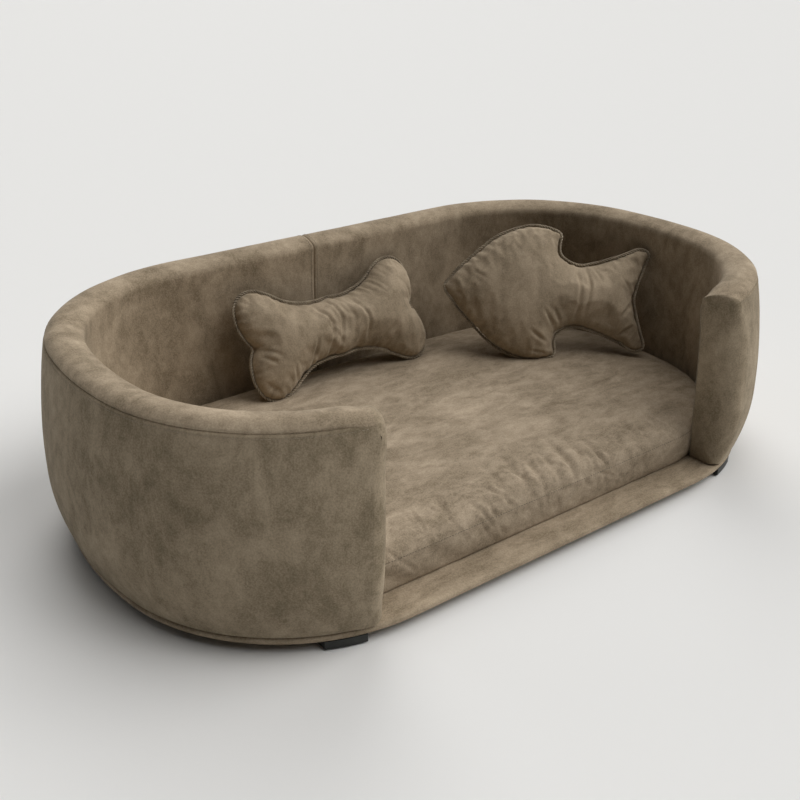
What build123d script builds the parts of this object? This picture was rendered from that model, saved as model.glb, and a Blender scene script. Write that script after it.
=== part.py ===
# Oval upholstered pet bed: a padded wall on a thin covered base, open at the front,
# with a loose mattress and two loose scatter pillows, one bone-shaped, one fish-shaped.
# Millimetres. X runs along the bed's length, Y from the entrance to the back, Z up.
# The origin is on the floor under the middle of the bed.
from build123d import *
import os
from math import asin, cos, degrees, radians, sin, sqrt, tan

os.makedirs("parts", exist_ok=True)

# Plan of the bed: straight front and back, tangent corner arcs and flatter end arcs. The
# corners' centres lie a little in front of and behind the bed's long axis.
bed_length = 1012
bed_depth = 608
bed_height = 275
corner_y = 41
end_radius = 526

# Section of the wall, as insets from the widest line and heights.
belly_height = 105
foot_inset_of_wall = 17
top_seam_inset = 17.5
top_seam_drop = 11
wall_thickness = 60
inner_rim_radius = 20

# Entrance: a gap at the front whose sides splay outwards.
entrance_half_width = 262
entrance_splay = 16

# Covers, padding and clearances.
fabric_thickness = 1.2
fabric_gap = 0.15
inner_padding = 10
end_padding = 34
wood_gap = 0.1
soft_gap = 0.3
overrun = 5

# Wooden frame in the wall.
panel_thickness = 3
outer_panel_inset = 26
rail_height = 12
top_rail_drop = 30
stud_width = 30
stud_relief = 0.7
post_width = 24
stud_count = 11

# Covered base board and its feet.
foot_height = 12
board_thickness = 6
base_inset = 17
cover_turn_under = 40
dust_cover_thickness = 0.8
foot_length = 45
foot_width = 26
foot_inset = 18
foot_end_inset = 184
pad_height = 2
pad_margin = 3

# Screws.
screw_radius = 2
screw_head_radius = 4
screw_head_height = 2.4
thread_clearance = 0.05
frame_screw_length = 32
wall_screw_length = 20
foot_screw_length = 12
foot_screw_spacing = 22
foot_bore_depth = 4

# Mattress.
mattress_height = 45
mattress_crown = 15
mattress_inset = 62.4
mattress_shift = 2
bottom_seam_draw = 2
top_seam_draw = 1.5

# Zip along the back of the mattress.
zip_length = 400
zip_tape_width = 22
zip_tape_thickness = 0.6
zip_teeth_width = 4.4
zip_teeth_height = 1
slider_length = 12
slider_width = 9
slider_height = 3
slider_clearance = 0.3
pull_length = 16
pull_width = 8
pull_thickness = 1.2

# Loose pillows: size, how each one turns and leans, how far its middle stands off the
# wall that it leans on, past its own reach, and how far it is above the mattress.
pillow_spacing = 25
bone_length = 298
bone_height = 158
bone_half_thickness = 36
bone_wall_room = 19
bone_rise = 5.5
bone_yaw = 0
bone_lean = 28
bone_roll = 1
fish_length = 323
fish_height = 204
fish_half_thickness = 38
fish_y = 61
fish_wall_room = 21.8
fish_rise = 3
fish_yaw = -32
fish_lean = 25.5
fish_roll = -6
flange_width = 4
flange_thickness = 3
flange_gap = 0.45

# Seam places and shares of lengths, all chosen by hand.
back_seam_x = -20
crown_inset_shares = (0, 0.06, 0.19, 0.42, 0.64)
crown_rise_shares = (0, 0.4, 0.76, 0.96, 1)
bulge_shares = (0, 0.12, 0.32, 0.58, 0.85)
bulge_rise_shares = (0, 0.3, 0.64, 0.9, 1)

# Right half of the bone's upper edge: arc ends and the points between them, with the
# place on the bulge's ridge that each one draws in to, as shares of half its size.
bone_edge_shares = (
    (0, 0.55, 0, 0.1),
    (0.39, 0.61, 0.36, 0.14),
    (0.53, 0.74, 0.5, 0.28),
    (0.65, 0.9, 0.6, 0.4),
    (0.75, 0.985, 0.66, 0.46),
    (0.86, 0.99, 0.72, 0.48),
    (0.96, 0.89, 0.77, 0.44),
    (1, 0.72, 0.78, 0.38),
    (0.915, 0, 0.68, 0),
)
# Upper edge of the fish from its nose to the notch of its tail, in the same form.
fish_edge_shares = (
    (-1, 0, -0.7, 0),
    (-0.84, 0.31, -0.62, 0.1),
    (-0.65, 0.6, -0.5, 0.2),
    (-0.42, 0.88, -0.34, 0.3),
    (-0.18, 1, -0.19, 0.4),
    (-0.03, 0.99, -0.12, 0.42),
    (0.12, 0.91, -0.05, 0.4),
    (0.09, 0.76, -0.02, 0.33),
    (0.1, 0.6, 0.05, 0.22),
    (0.21, 0.485, 0.22, 0.12),
    (0.34, 0.455, 0.35, 0.1),
    (0.57, 0.56, 0.5, 0.18),
    (0.8, 0.71, 0.62, 0.26),
    (0.9, 0.77, 0.67, 0.3),
    (0.985, 0.73, 0.7, 0.28),
    (0.9, 0.35, 0.68, 0.14),
    (0.84, 0, 0.64, 0),
)

# Values worked out from the sizes above.
half_length = bed_length / 2
half_depth = bed_depth / 2
corner_radius = half_depth - corner_y
end_x = half_length - end_radius
corner_x = end_x + sqrt((end_radius - corner_radius) ** 2 - corner_y ** 2)
end_sweep = degrees(asin(corner_y / (end_radius - corner_radius)))
run_start_x = corner_x / 2
foot_middle = half_length - foot_end_inset

board_bottom = foot_height + fabric_thickness + wood_gap
board_top = board_bottom + board_thickness
base_top = board_top + wood_gap + fabric_thickness

seam_height = bed_height - top_seam_drop
lower_drop = belly_height - base_top
lower_radius = (lower_drop ** 2 + foot_inset_of_wall ** 2) / (2 * foot_inset_of_wall)
upper_rise = seam_height - belly_height
upper_radius = (upper_rise ** 2 + top_seam_inset ** 2) / (2 * top_seam_inset)
crown_inset = wall_thickness - inner_rim_radius
crown_run = crown_inset - top_seam_inset
crown_radius = (crown_run ** 2 + top_seam_drop ** 2) / (2 * top_seam_drop)

padding_depth = fabric_thickness + fabric_gap
inner_panel_face = wall_thickness - padding_depth - inner_padding
rail_outer = outer_panel_inset + panel_thickness + wood_gap
rail_inner = inner_panel_face - panel_thickness - wood_gap
rail_line = (rail_outer + rail_inner) / 2
frame_top = bed_height - top_rail_drop
end_pad_setback = fabric_thickness + fabric_gap
frame_setback = end_pad_setback + end_padding + fabric_gap

section_plane = Plane(origin=(run_start_x, -half_depth, 0), x_dir=(0, 1, 0), z_dir=(1, 0, 0))


def right_half_arcs(inset):
    """Centre, radius, start and sweep of the plan's arcs from the front right to the back."""
    return (
        ((corner_x, -corner_y), corner_radius - inset, 270, 90 - end_sweep),
        ((end_x, 0), end_radius - inset, -end_sweep, 2 * end_sweep),
        ((corner_x, corner_y), corner_radius - inset, end_sweep, 90 - end_sweep),
    )


def wall_line(inset):
    """The wall's open run round the bed, from the front's right half to its left half."""
    side = half_depth - inset
    with BuildLine() as run:
        Line((run_start_x, -side), (corner_x, -side))
        for center, radius, start, sweep_angle in right_half_arcs(inset):
            CenterArc(center, radius, start, sweep_angle)
        Line((corner_x, side), (-corner_x, side))
        for (x, y), radius, start, sweep_angle in right_half_arcs(inset):
            CenterArc((-x, -y), radius, start + 180, sweep_angle)
        Line((-corner_x, -side), (-run_start_x, -side))
    return run.wire()


def side_y(x, inset):
    """Distance from the long axis to the front or back of an inset line, at an x."""
    past_corner = max(abs(x) - corner_x, 0)
    return corner_y + sqrt((corner_radius - inset) ** 2 - past_corner ** 2)


def run_to(x, inset):
    """Length along the wall's run at an inset, from its start to an x on the front."""
    straight = min(x, corner_x) - run_start_x
    radius = corner_radius - inset
    return straight + radius * asin(max(x - corner_x, 0) / radius)


def oval_line(inset, shift=0):
    """The plan's closed outline, drawn in by inset and moved to the front by shift."""
    with BuildLine(Plane((0, -shift, 0))) as outline:
        for turn in (0, 180):
            facing = 1 if turn == 0 else -1
            for (x, y), radius, start, sweep_angle in right_half_arcs(inset):
                CenterArc((facing * x, facing * y), radius, start + turn, sweep_angle)
            side = facing * (half_depth - inset)
            Line((facing * corner_x, side), (-facing * corner_x, side))
    return outline.wire()


def entrance(setback):
    """The entrance gap as a block, each side moved into the wall by setback."""
    inner_y = half_depth - wall_thickness
    lean = tan(radians(entrance_splay))
    reach = setback / cos(radians(entrance_splay))
    front_y = half_depth + overrun
    front_x = entrance_half_width + reach + (front_y - inner_y) * lean
    middle_x = entrance_half_width + reach - inner_y * lean
    with BuildPart() as gap:
        with BuildSketch(Plane.XY.offset(-overrun)):
            with BuildLine():
                Polyline(
                    (-front_x, -front_y),
                    (front_x, -front_y),
                    (middle_x, 0),
                    (-middle_x, 0),
                    close=True,
                )
            make_face()
        extrude(amount=bed_height + 2 * overrun)
    return gap.part


def side_inset(height, depth):
    """Inset of the wall's bellied outer side at a height, for a layer this deep under it."""
    radius = lower_radius if height < belly_height else upper_radius
    return radius - sqrt((radius - depth) ** 2 - (height - belly_height) ** 2)


def top_seam_point(depth):
    """Where the side and the crown of a layer this deep meet, as inset and height."""
    side_center = (upper_radius, belly_height)
    top_center = (crown_inset, bed_height - crown_radius)
    side_reach = upper_radius - depth
    top_reach = crown_radius - depth
    across = top_center[0] - side_center[0]
    up = top_center[1] - side_center[1]
    span = sqrt(across ** 2 + up ** 2)
    along = (side_reach ** 2 - top_reach ** 2 + span ** 2) / (2 * span)
    off = sqrt(side_reach ** 2 - along ** 2)
    return (
        side_center[0] + (along * across + off * up) / span,
        side_center[1] + (along * up - off * across) / span,
    )


def draw_side(depth, low, high_point):
    """Draws the bellied side of a layer from a low height up to its high point."""
    high = high_point[1]
    lower_middle = (low + belly_height) / 2
    upper_middle = (belly_height + high) / 2
    ThreePointArc(
        (side_inset(low, depth), low),
        (side_inset(lower_middle, depth), lower_middle),
        (depth, belly_height),
    )
    ThreePointArc(
        (depth, belly_height),
        (side_inset(upper_middle, depth), upper_middle),
        high_point,
    )


def crown_point(inset, depth):
    """The point of the crown's outer arc at an inset, for a layer this deep."""
    radius = crown_radius - depth
    return (inset, bed_height - crown_radius + sqrt(radius ** 2 - (inset - crown_inset) ** 2))


def rim_point(angle, depth):
    """The point of the rounded inner rim at an angle up from level, for a layer this deep."""
    radius = inner_rim_radius - depth
    turn = radians(angle)
    return (crown_inset + radius * cos(turn), bed_height - inner_rim_radius + radius * sin(turn))


def draw_top(depth):
    """Draws the crown and the rounded inner rim of a layer, from its seam to its inner face."""
    seam = top_seam_point(depth)
    crest = (crown_inset, bed_height - depth)
    ThreePointArc(seam, crown_point((seam[0] + crown_inset) / 2, depth), crest)
    ThreePointArc(crest, rim_point(45, depth), rim_point(0, depth))


def closed_wall_edges(depth):
    """The whole section of the wall under a depth of cover, as one closed outline."""
    inner = wall_thickness - depth
    with BuildLine() as outline:
        draw_side(depth, base_top, top_seam_point(depth))
        draw_top(depth)
        Polyline(
            rim_point(0, depth),
            (inner, base_top),
            (side_inset(base_top, depth), base_top),
        )
    return outline.edges()


def save(piece, name):
    """Labels a finished piece and writes it."""
    piece.part.label = name
    export_step(piece.part, f"parts/{name}.step")
    print(name, "volume", round(piece.part.volume / 1000, 1), "cm3")


# Base: board, cover, dust cover, feet
def screw(length, clearance, countersunk):
    """A wood screw pointing down from its head's top face at the origin."""
    radius = screw_radius + clearance
    head_radius = screw_head_radius + clearance
    with BuildPart() as body:
        with BuildSketch(Plane.XZ):
            with BuildLine():
                if countersunk:
                    Polyline((0, 0), (head_radius, 0), (radius, -screw_head_height))
                else:
                    Polyline(
                        (0, 0),
                        (head_radius, 0),
                        (head_radius, -screw_head_height),
                        (radius, -screw_head_height),
                    )
                Polyline(
                    (radius, -screw_head_height),
                    (radius, screw_radius - length - clearance),
                    (0, -length - clearance),
                    (0, 0),
                )
            make_face()
        revolve(axis=Axis.Z)
    return body.part


def upward(part):
    """A part turned over, so that a screw points up."""
    return part.rotate(Axis.X, 180)


# Studs stand evenly between the end posts, and the screws up into the wall midway between.
rail_path = wall_line(rail_line)
post_middle = frame_setback + post_width / 2
post_x = entrance_half_width + post_middle / cos(radians(entrance_splay))
post_x += (wall_thickness - rail_line) * tan(radians(entrance_splay))
post_y = side_y(post_x, rail_line)
post_run = run_to(post_x, rail_line)
stud_spacing = (rail_path.length - 2 * post_run) / (stud_count + 1)
stud_runs = [post_run + stud_spacing * (index + 1) for index in range(stud_count)]
wall_screw_seat = foot_height - screw_head_height
wall_screw_places = [
    Location(rail_path.position_at(run, PositionMode.LENGTH) + Vector(0, 0, wall_screw_seat))
    for run in [run + stud_spacing / 2 for run in stud_runs[:-1]]
]

foot_line = foot_inset + foot_width / 2
foot_sides = {
    "front_left": (-1, -1),
    "front_right": (1, -1),
    "back_left": (-1, 1),
    "back_right": (1, 1),
}
foot_screw_seat = pad_height + foot_bore_depth
foot_screw_xs = (foot_middle - foot_screw_spacing / 2, foot_middle + foot_screw_spacing / 2)
foot_screw_z = foot_screw_seat - screw_head_height
foot_screw_places = {
    name: [Location((side * x, front * side_y(x, foot_line), foot_screw_z)) for x in foot_screw_xs]
    for name, (side, front) in foot_sides.items()
}
all_foot_screw_places = [place for places in foot_screw_places.values() for place in places]
wall_screw = upward(screw(wall_screw_length, 0, False))
wall_screw_hole = upward(screw(wall_screw_length, thread_clearance, False))
foot_screw = upward(screw(foot_screw_length + screw_head_height, 0, False))
foot_screw_hole = upward(screw(foot_screw_length + screw_head_height, thread_clearance, False))

with BuildPart() as base_board:
    with BuildSketch(Plane.XY.offset(board_bottom)):
        make_face(oval_line(base_inset + padding_depth).edges())
    extrude(amount=board_thickness)
    with Locations(wall_screw_places):
        add(wall_screw_hole, mode=Mode.SUBTRACT)
    with Locations(all_foot_screw_places):
        add(foot_screw_hole, mode=Mode.SUBTRACT)
save(base_board, "base_board")

with BuildPart() as base_cover:
    with BuildSketch(Plane.XY.offset(foot_height)):
        make_face(oval_line(base_inset).edges())
    extrude(amount=base_top - foot_height)
    with BuildSketch(Plane.XY.offset(foot_height + fabric_thickness)):
        make_face(oval_line(base_inset + fabric_thickness).edges())
    extrude(amount=board_thickness + 2 * wood_gap, mode=Mode.SUBTRACT)
    with BuildSketch(Plane.XY.offset(foot_height)):
        make_face(oval_line(base_inset + cover_turn_under).edges())
    extrude(amount=fabric_thickness, mode=Mode.SUBTRACT)
    with Locations(wall_screw_places):
        add(wall_screw_hole, mode=Mode.SUBTRACT)
    with Locations(all_foot_screw_places):
        add(foot_screw_hole, mode=Mode.SUBTRACT)
save(base_cover, "base_cover")

with BuildPart() as dust_cover:
    with BuildSketch(Plane.XY.offset(board_bottom - wood_gap - dust_cover_thickness)):
        make_face(oval_line(base_inset + cover_turn_under + fabric_gap).edges())
    extrude(amount=dust_cover_thickness)
save(dust_cover, "dust_cover")


def foot_face(side, front, margin):
    """The curved plan of one foot, drawn in by a margin."""
    with BuildSketch() as plan:
        make_face(oval_line(foot_inset + margin).edges())
        make_face(oval_line(foot_inset + foot_width - margin).edges(), mode=Mode.SUBTRACT)
        with Locations((side * foot_middle, front * half_depth)):
            Rectangle(foot_length - 2 * margin, half_depth, mode=Mode.INTERSECT)
    return plan.sketch


for name, (side, front) in foot_sides.items():
    with BuildPart() as foot:
        with BuildSketch(Plane.XY.offset(pad_height)):
            add(foot_face(side, front, 0))
        extrude(amount=foot_height - pad_height)
        with Locations(foot_screw_places[name]):
            add(foot_screw_hole, mode=Mode.SUBTRACT)
        bore_bottoms = [
            place.position + Vector(0, 0, screw_head_height) for place in foot_screw_places[name]
        ]
        with Locations(*bore_bottoms):
            Cylinder(
                screw_head_radius + thread_clearance,
                foot_bore_depth,
                align=(Align.CENTER, Align.CENTER, Align.MAX),
                mode=Mode.SUBTRACT,
            )
        with Locations(wall_screw_places):
            add(wall_screw_hole, mode=Mode.SUBTRACT)
    save(foot, f"foot_{name}")

with BuildPart() as foot_pads:
    with BuildSketch():
        for side, front in foot_sides.values():
            add(foot_face(side, front, pad_margin))
    extrude(amount=pad_height)
save(foot_pads, "foot_pads")

with BuildPart() as foot_screws:
    with Locations(all_foot_screw_places):
        add(foot_screw)
save(foot_screws, "foot_screws")

with BuildPart() as wall_screws:
    with Locations(wall_screw_places):
        add(wall_screw)
save(wall_screws, "wall_fixing_screws")

# Wall frame: rails, studs, end posts, panels
frame_entrance = entrance(frame_setback)
post_entrance = entrance(frame_setback + post_width)
lower_stud_end = base_top + rail_height + wood_gap
upper_stud_end = frame_top - rail_height - wood_gap
stud_places = [
    (
        rail_path.position_at(run, PositionMode.LENGTH),
        rail_path.tangent_at(run, PositionMode.LENGTH),
    )
    for run in stud_runs
]
stud_points = [point for point, way in stud_places] + [Vector(post_x, -post_y), Vector(-post_x, -post_y)]
top_screw_places = [Location(point + Vector(0, 0, frame_top)) for point in stud_points]
bottom_screw_places = [Location(point + Vector(0, 0, base_top)) for point in stud_points]
frame_screw = screw(frame_screw_length, 0, True)
frame_screw_hole = screw(frame_screw_length, thread_clearance, True)


def rail(height, name, screw_places, hole):
    """A curved plywood rail in the wall at a height, with its screw holes."""
    with BuildPart() as body:
        with BuildSketch(section_plane):
            with Locations((rail_line, height)):
                Rectangle(rail_inner - rail_outer, rail_height, align=(Align.CENTER, Align.MIN))
        sweep(path=wall_line(0))
        add(frame_entrance, mode=Mode.SUBTRACT)
        with Locations(screw_places):
            add(hole, mode=Mode.SUBTRACT)
        if height == base_top:
            with Locations(wall_screw_places):
                add(wall_screw_hole, mode=Mode.SUBTRACT)
    save(body, name)


rail(base_top, "wall_bottom_rail", bottom_screw_places, upward(frame_screw_hole))
rail(frame_top - rail_height, "wall_top_rail", top_screw_places, frame_screw_hole)

with BuildPart() as studs:
    for point, way in stud_places:
        foot_of_stud = point + Vector(0, 0, lower_stud_end)
        with BuildSketch(Plane(origin=foot_of_stud, x_dir=way, z_dir=(0, 0, 1))):
            Rectangle(stud_width, rail_inner - rail_outer - 2 * stud_relief)
        extrude(amount=upper_stud_end - lower_stud_end)
    with Locations(top_screw_places):
        add(frame_screw_hole, mode=Mode.SUBTRACT)
    with Locations(bottom_screw_places):
        add(upward(frame_screw_hole), mode=Mode.SUBTRACT)
save(studs, "wall_studs")

for name, side in (("left", -1), ("right", 1)):
    with BuildPart() as post:
        with BuildSketch(section_plane):
            with Locations((rail_line, lower_stud_end)):
                Rectangle(
                    rail_inner - rail_outer,
                    upper_stud_end - lower_stud_end,
                    align=(Align.CENTER, Align.MIN),
                )
        sweep(path=wall_line(0))
        add(post_entrance, mode=Mode.INTERSECT)
        add(frame_entrance, mode=Mode.SUBTRACT)
        split(bisect_by=Plane.YZ, keep=Keep.TOP if side > 0 else Keep.BOTTOM)
        with Locations(top_screw_places):
            add(frame_screw_hole, mode=Mode.SUBTRACT)
        with Locations(bottom_screw_places):
            add(upward(frame_screw_hole), mode=Mode.SUBTRACT)
    save(post, f"{name}_end_post")

with BuildPart() as frame_screws:
    with Locations(top_screw_places):
        add(frame_screw)
    with Locations(bottom_screw_places):
        add(upward(frame_screw))
save(frame_screws, "frame_screws")

for name, inset in (
    ("wall_outer_panel", outer_panel_inset),
    ("wall_inner_panel", inner_panel_face - panel_thickness),
):
    with BuildPart() as panel:
        with BuildSketch(section_plane):
            with Locations((inset, base_top)):
                Rectangle(panel_thickness, frame_top - base_top, align=(Align.MIN, Align.MIN))
        sweep(path=wall_line(0))
        add(frame_entrance, mode=Mode.SUBTRACT)
    save(panel, name)

# Wall upholstery: foam, end pads, covers
with BuildPart() as wall_foam:
    with BuildSketch(section_plane):
        make_face(closed_wall_edges(padding_depth))
        hollow_outer = outer_panel_inset - wood_gap
        hollow_inner = inner_panel_face + wood_gap
        with Locations((hollow_outer, base_top)):
            Rectangle(
                hollow_inner - hollow_outer,
                frame_top + wood_gap - base_top,
                align=(Align.MIN, Align.MIN),
                mode=Mode.SUBTRACT,
            )
    sweep(path=wall_line(0))
    add(frame_entrance, mode=Mode.SUBTRACT)
    with Locations((corner_x, half_depth, bed_height / 2), (-corner_x, half_depth, bed_height / 2)):
        Box(fabric_gap, half_depth, 2 * bed_height, mode=Mode.SUBTRACT)
    Box(2 * bed_length, fabric_gap, 2 * bed_height, mode=Mode.SUBTRACT)

foams = wall_foam.part.solids().sort_by(Axis.X)
foam_names = ("front_left", "back_left", "back", "front_right", "back_right")
foams = foams[:2].sort_by(Axis.Y) + foams[2:3] + foams[3:].sort_by(Axis.Y)
for foam_name, solid in zip(foam_names, foams):
    with BuildPart() as section:
        add(solid)
    save(section, f"wall_foam_{foam_name}")


def end_slice(depth, near, far, side):
    """A slice of the wall's end: its whole section under a depth, between two setbacks."""
    with BuildPart() as slice_part:
        with BuildSketch(section_plane):
            make_face(closed_wall_edges(depth))
        sweep(path=wall_line(0))
        add(entrance(far), mode=Mode.INTERSECT)
        add(entrance(near), mode=Mode.SUBTRACT)
        split(bisect_by=Plane.YZ, keep=Keep.TOP if side > 0 else Keep.BOTTOM)
    return slice_part


for name, side in (("left", -1), ("right", 1)):
    pad = end_slice(padding_depth, end_pad_setback, end_pad_setback + end_padding, side)
    save(pad, f"{name}_end_pad")
    cover = end_slice(0, 0, fabric_thickness, side)
    save(cover, f"{name}_end_cover")

cover_entrance = entrance(fabric_thickness + fabric_gap)
with BuildPart() as back_seam_slit:
    with Locations((back_seam_x, half_depth, bed_height / 2)):
        Box(fabric_gap, half_depth, 2 * bed_height)

with BuildPart() as outer_cover:
    outer_seam = top_seam_point(0)
    inner_seam = top_seam_point(fabric_thickness)
    with BuildSketch(section_plane):
        with BuildLine():
            draw_side(0, base_top, outer_seam)
            Line(outer_seam, inner_seam)
            draw_side(fabric_thickness, base_top, inner_seam)
            Line(
                (side_inset(base_top, 0), base_top),
                (side_inset(base_top, fabric_thickness), base_top),
            )
        make_face()
    sweep(path=wall_line(0))
    add(cover_entrance, mode=Mode.SUBTRACT)
    add(back_seam_slit.part, mode=Mode.SUBTRACT)

with BuildPart() as inner_cover:
    with BuildSketch(section_plane):
        inner_face = wall_thickness - fabric_thickness
        with BuildLine():
            draw_top(0)
            Polyline(
                rim_point(0, 0),
                (wall_thickness, base_top),
                (inner_face, base_top),
                rim_point(0, fabric_thickness),
            )
            draw_top(fabric_thickness)
            Line(outer_seam, inner_seam)
        make_face()
    sweep(path=wall_line(0))
    add(cover_entrance, mode=Mode.SUBTRACT)
    add(back_seam_slit.part, mode=Mode.SUBTRACT)

for name, cover in (("outer", outer_cover), ("inner", inner_cover)):
    for side_name, solid in zip(("left", "right"), cover.part.solids().sort_by(Axis.X)):
        with BuildPart() as half:
            add(solid)
        save(half, f"{side_name}_{name}_cover")

# Mattress: foam, covers, zip
mattress_bottom = base_top + soft_gap
mattress_seam = mattress_bottom + mattress_height
mattress_belly = (mattress_bottom + mattress_seam) / 2
crown_reach = half_depth - mattress_inset


def mattress_outline(inset):
    """The mattress's outline, drawn in from its widest line."""
    return oval_line(mattress_inset + inset, mattress_shift)


def crown_solid(edge_inset, drop):
    """A crowned top for the mattress, from its edge's inset inwards, lowered by drop."""
    with BuildPart() as crown:
        for inset_share, rise_share in zip(crown_inset_shares, crown_rise_shares):
            inset = edge_inset + inset_share * crown_reach
            height = mattress_seam - drop + rise_share * mattress_crown
            with BuildSketch(Plane.XY.offset(height)):
                make_face(mattress_outline(inset).edges())
        loft()
    return crown.part


with BuildPart() as mattress_top:
    add(crown_solid(top_seam_draw, 0))
    add(crown_solid(top_seam_draw, fabric_thickness), mode=Mode.SUBTRACT)
save(mattress_top, "mattress_top_cover")

foam_inset = bottom_seam_draw + padding_depth
with BuildPart() as mattress_foam:
    add(crown_solid(foam_inset, padding_depth))
    with BuildSketch(Plane.XY.offset(mattress_bottom + padding_depth)):
        make_face(mattress_outline(foam_inset).edges())
    extrude(amount=mattress_height - 2 * padding_depth)
save(mattress_foam, "mattress_foam")

with BuildPart() as mattress_base:
    with BuildSketch(Plane.XY.offset(mattress_bottom)):
        make_face(mattress_outline(bottom_seam_draw).edges())
    extrude(amount=fabric_thickness)
save(mattress_base, "mattress_bottom_cover")


def boxing_arc(depth):
    """Draws the mattress side's gentle belly in section, for a layer this deep."""
    low = mattress_bottom + fabric_thickness + fabric_gap
    high = mattress_seam - fabric_gap
    return ThreePointArc(
        (bottom_seam_draw + depth, low), (depth, mattress_belly), (top_seam_draw + depth, high)
    )


mattress_line = mattress_outline(0)
boxing_plane = Plane(origin=mattress_line.position_at(0), x_dir=(0, 1, 0), z_dir=(1, 0, 0))
with BuildPart() as boxing:
    with BuildSketch(boxing_plane):
        with BuildLine():
            outside = boxing_arc(0)
            inside = boxing_arc(fabric_thickness)
            Line(outside @ 0, inside @ 0)
            Line(outside @ 1, inside @ 1)
        make_face()
    sweep(path=mattress_line)
save(boxing, "mattress_boxing")

against_mattress = (Align.CENTER, Align.MIN, Align.CENTER)
zip_face = half_depth - mattress_inset - mattress_shift + fabric_gap / 2
with BuildPart() as zip_tape:
    with Locations((0, zip_face, mattress_belly)):
        Box(zip_length, zip_tape_thickness, zip_tape_width, align=against_mattress)
save(zip_tape, "zip_tape")

teeth_face = zip_face + zip_tape_thickness
with BuildPart() as zip_teeth:
    with Locations((0, teeth_face, mattress_belly)):
        Box(zip_length, zip_teeth_height, zip_teeth_width, align=against_mattress)
save(zip_teeth, "zip_teeth")

slider_x = slider_length - zip_length / 2
with BuildPart() as zip_slider:
    with Locations((slider_x, teeth_face + slider_clearance, mattress_belly)):
        Box(slider_length, slider_height, slider_width, align=against_mattress)
        Box(
            slider_length,
            zip_teeth_height,
            zip_teeth_width + 2 * slider_clearance,
            align=against_mattress,
            mode=Mode.SUBTRACT,
        )
    pull_top = mattress_belly - slider_width / 2
    with Locations((slider_x, teeth_face + slider_clearance + zip_teeth_height, pull_top)):
        Box(pull_width, pull_thickness, pull_length, align=(Align.CENTER, Align.MIN, Align.MAX))
save(zip_slider, "zip_slider")


# Loose pillows
def pillow_plane(center, yaw, lean, roll):
    """The middle plane of a leaning pillow: its length, its height, and its front side."""
    turn = radians(yaw)
    tilt = radians(lean)
    along = Vector(cos(turn), sin(turn), 0)
    front = Vector(sin(turn), -cos(turn), 0)
    up = Vector(0, 0, 1)
    rise = up * cos(tilt) - front * sin(tilt)
    facing = front * cos(tilt) + up * sin(tilt)
    spin = radians(roll)
    return Plane(origin=center, x_dir=along * cos(spin) + rise * sin(spin), z_dir=facing)


def bone_points(length, height, draw_in):
    """The bone's whole edge, drawn in towards its ridge by a share."""
    quarter = [
        (
            (edge_x + (ridge_x - edge_x) * draw_in) * length / 2,
            (edge_y + (ridge_y - edge_y) * draw_in) * height / 2,
        )
        for edge_x, edge_y, ridge_x, ridge_y in bone_edge_shares
    ]
    right = quarter + [(x, -y) for x, y in reversed(quarter[:-1])]
    left = [(-x, y) for x, y in reversed(right[1:-1])]
    return right + left


def fish_points(length, height, draw_in):
    """The fish's whole edge, drawn in towards its ridge by a share."""
    top = [
        (
            (edge_x + (ridge_x - edge_x) * draw_in) * length / 2,
            (edge_y + (ridge_y - edge_y) * draw_in) * height / 2,
        )
        for edge_x, edge_y, ridge_x, ridge_y in fish_edge_shares
    ]
    return top + [(x, -y) for x, y in reversed(top[1:-1])]


def pillow_face(points):
    """A face inside arcs through every two steps of a ring of points."""
    with BuildSketch() as face:
        with BuildLine():
            for i in range(0, len(points), 2):
                ThreePointArc(points[i], points[i + 1], points[(i + 2) % len(points)])
        make_face()
    return face.sketch


def pillow_half(plane, shape, length, height, half_thickness, side, drop):
    """One bulging half of a pillow, on the front or the back, lowered by drop."""
    with BuildPart() as half:
        for draw_in, rise in zip(bulge_shares, bulge_rise_shares):
            with BuildSketch(plane.offset(side * (rise * half_thickness - drop))):
                add(pillow_face(shape(length, height, draw_in)))
        loft()
        if drop:
            split(bisect_by=plane, keep=Keep.TOP if side > 0 else Keep.BOTTOM)
    return half.part


def pillow(name, plane, shape, length, height, half_thickness):
    """Front and back covers, filling and edge flange of one pillow."""
    fillings = []
    for side_name, side in (("front", 1), ("back", -1)):
        outside = pillow_half(plane, shape, length, height, half_thickness, side, 0)
        hollow = pillow_half(plane, shape, length, height, half_thickness, side, fabric_thickness)
        fillings.append(pillow_half(plane, shape, length, height, half_thickness, side, padding_depth))
        with BuildPart() as cover:
            add(outside)
            add(hollow, mode=Mode.SUBTRACT)
        save(cover, f"{name}_{side_name}_cover")
    with BuildPart() as filling:
        for half in fillings:
            add(half)
    save(filling, f"{name}_filling")
    with BuildPart() as flange:
        with BuildSketch(plane.offset(-flange_thickness / 2)):
            edge = pillow_face(shape(length, height, 0))
            add(offset(edge, amount=flange_width, mode=Mode.PRIVATE))
            add(offset(edge, amount=flange_gap, mode=Mode.PRIVATE), mode=Mode.SUBTRACT)
        extrude(amount=flange_thickness)
    save(flange, f"{name}_edge_flange")


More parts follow.
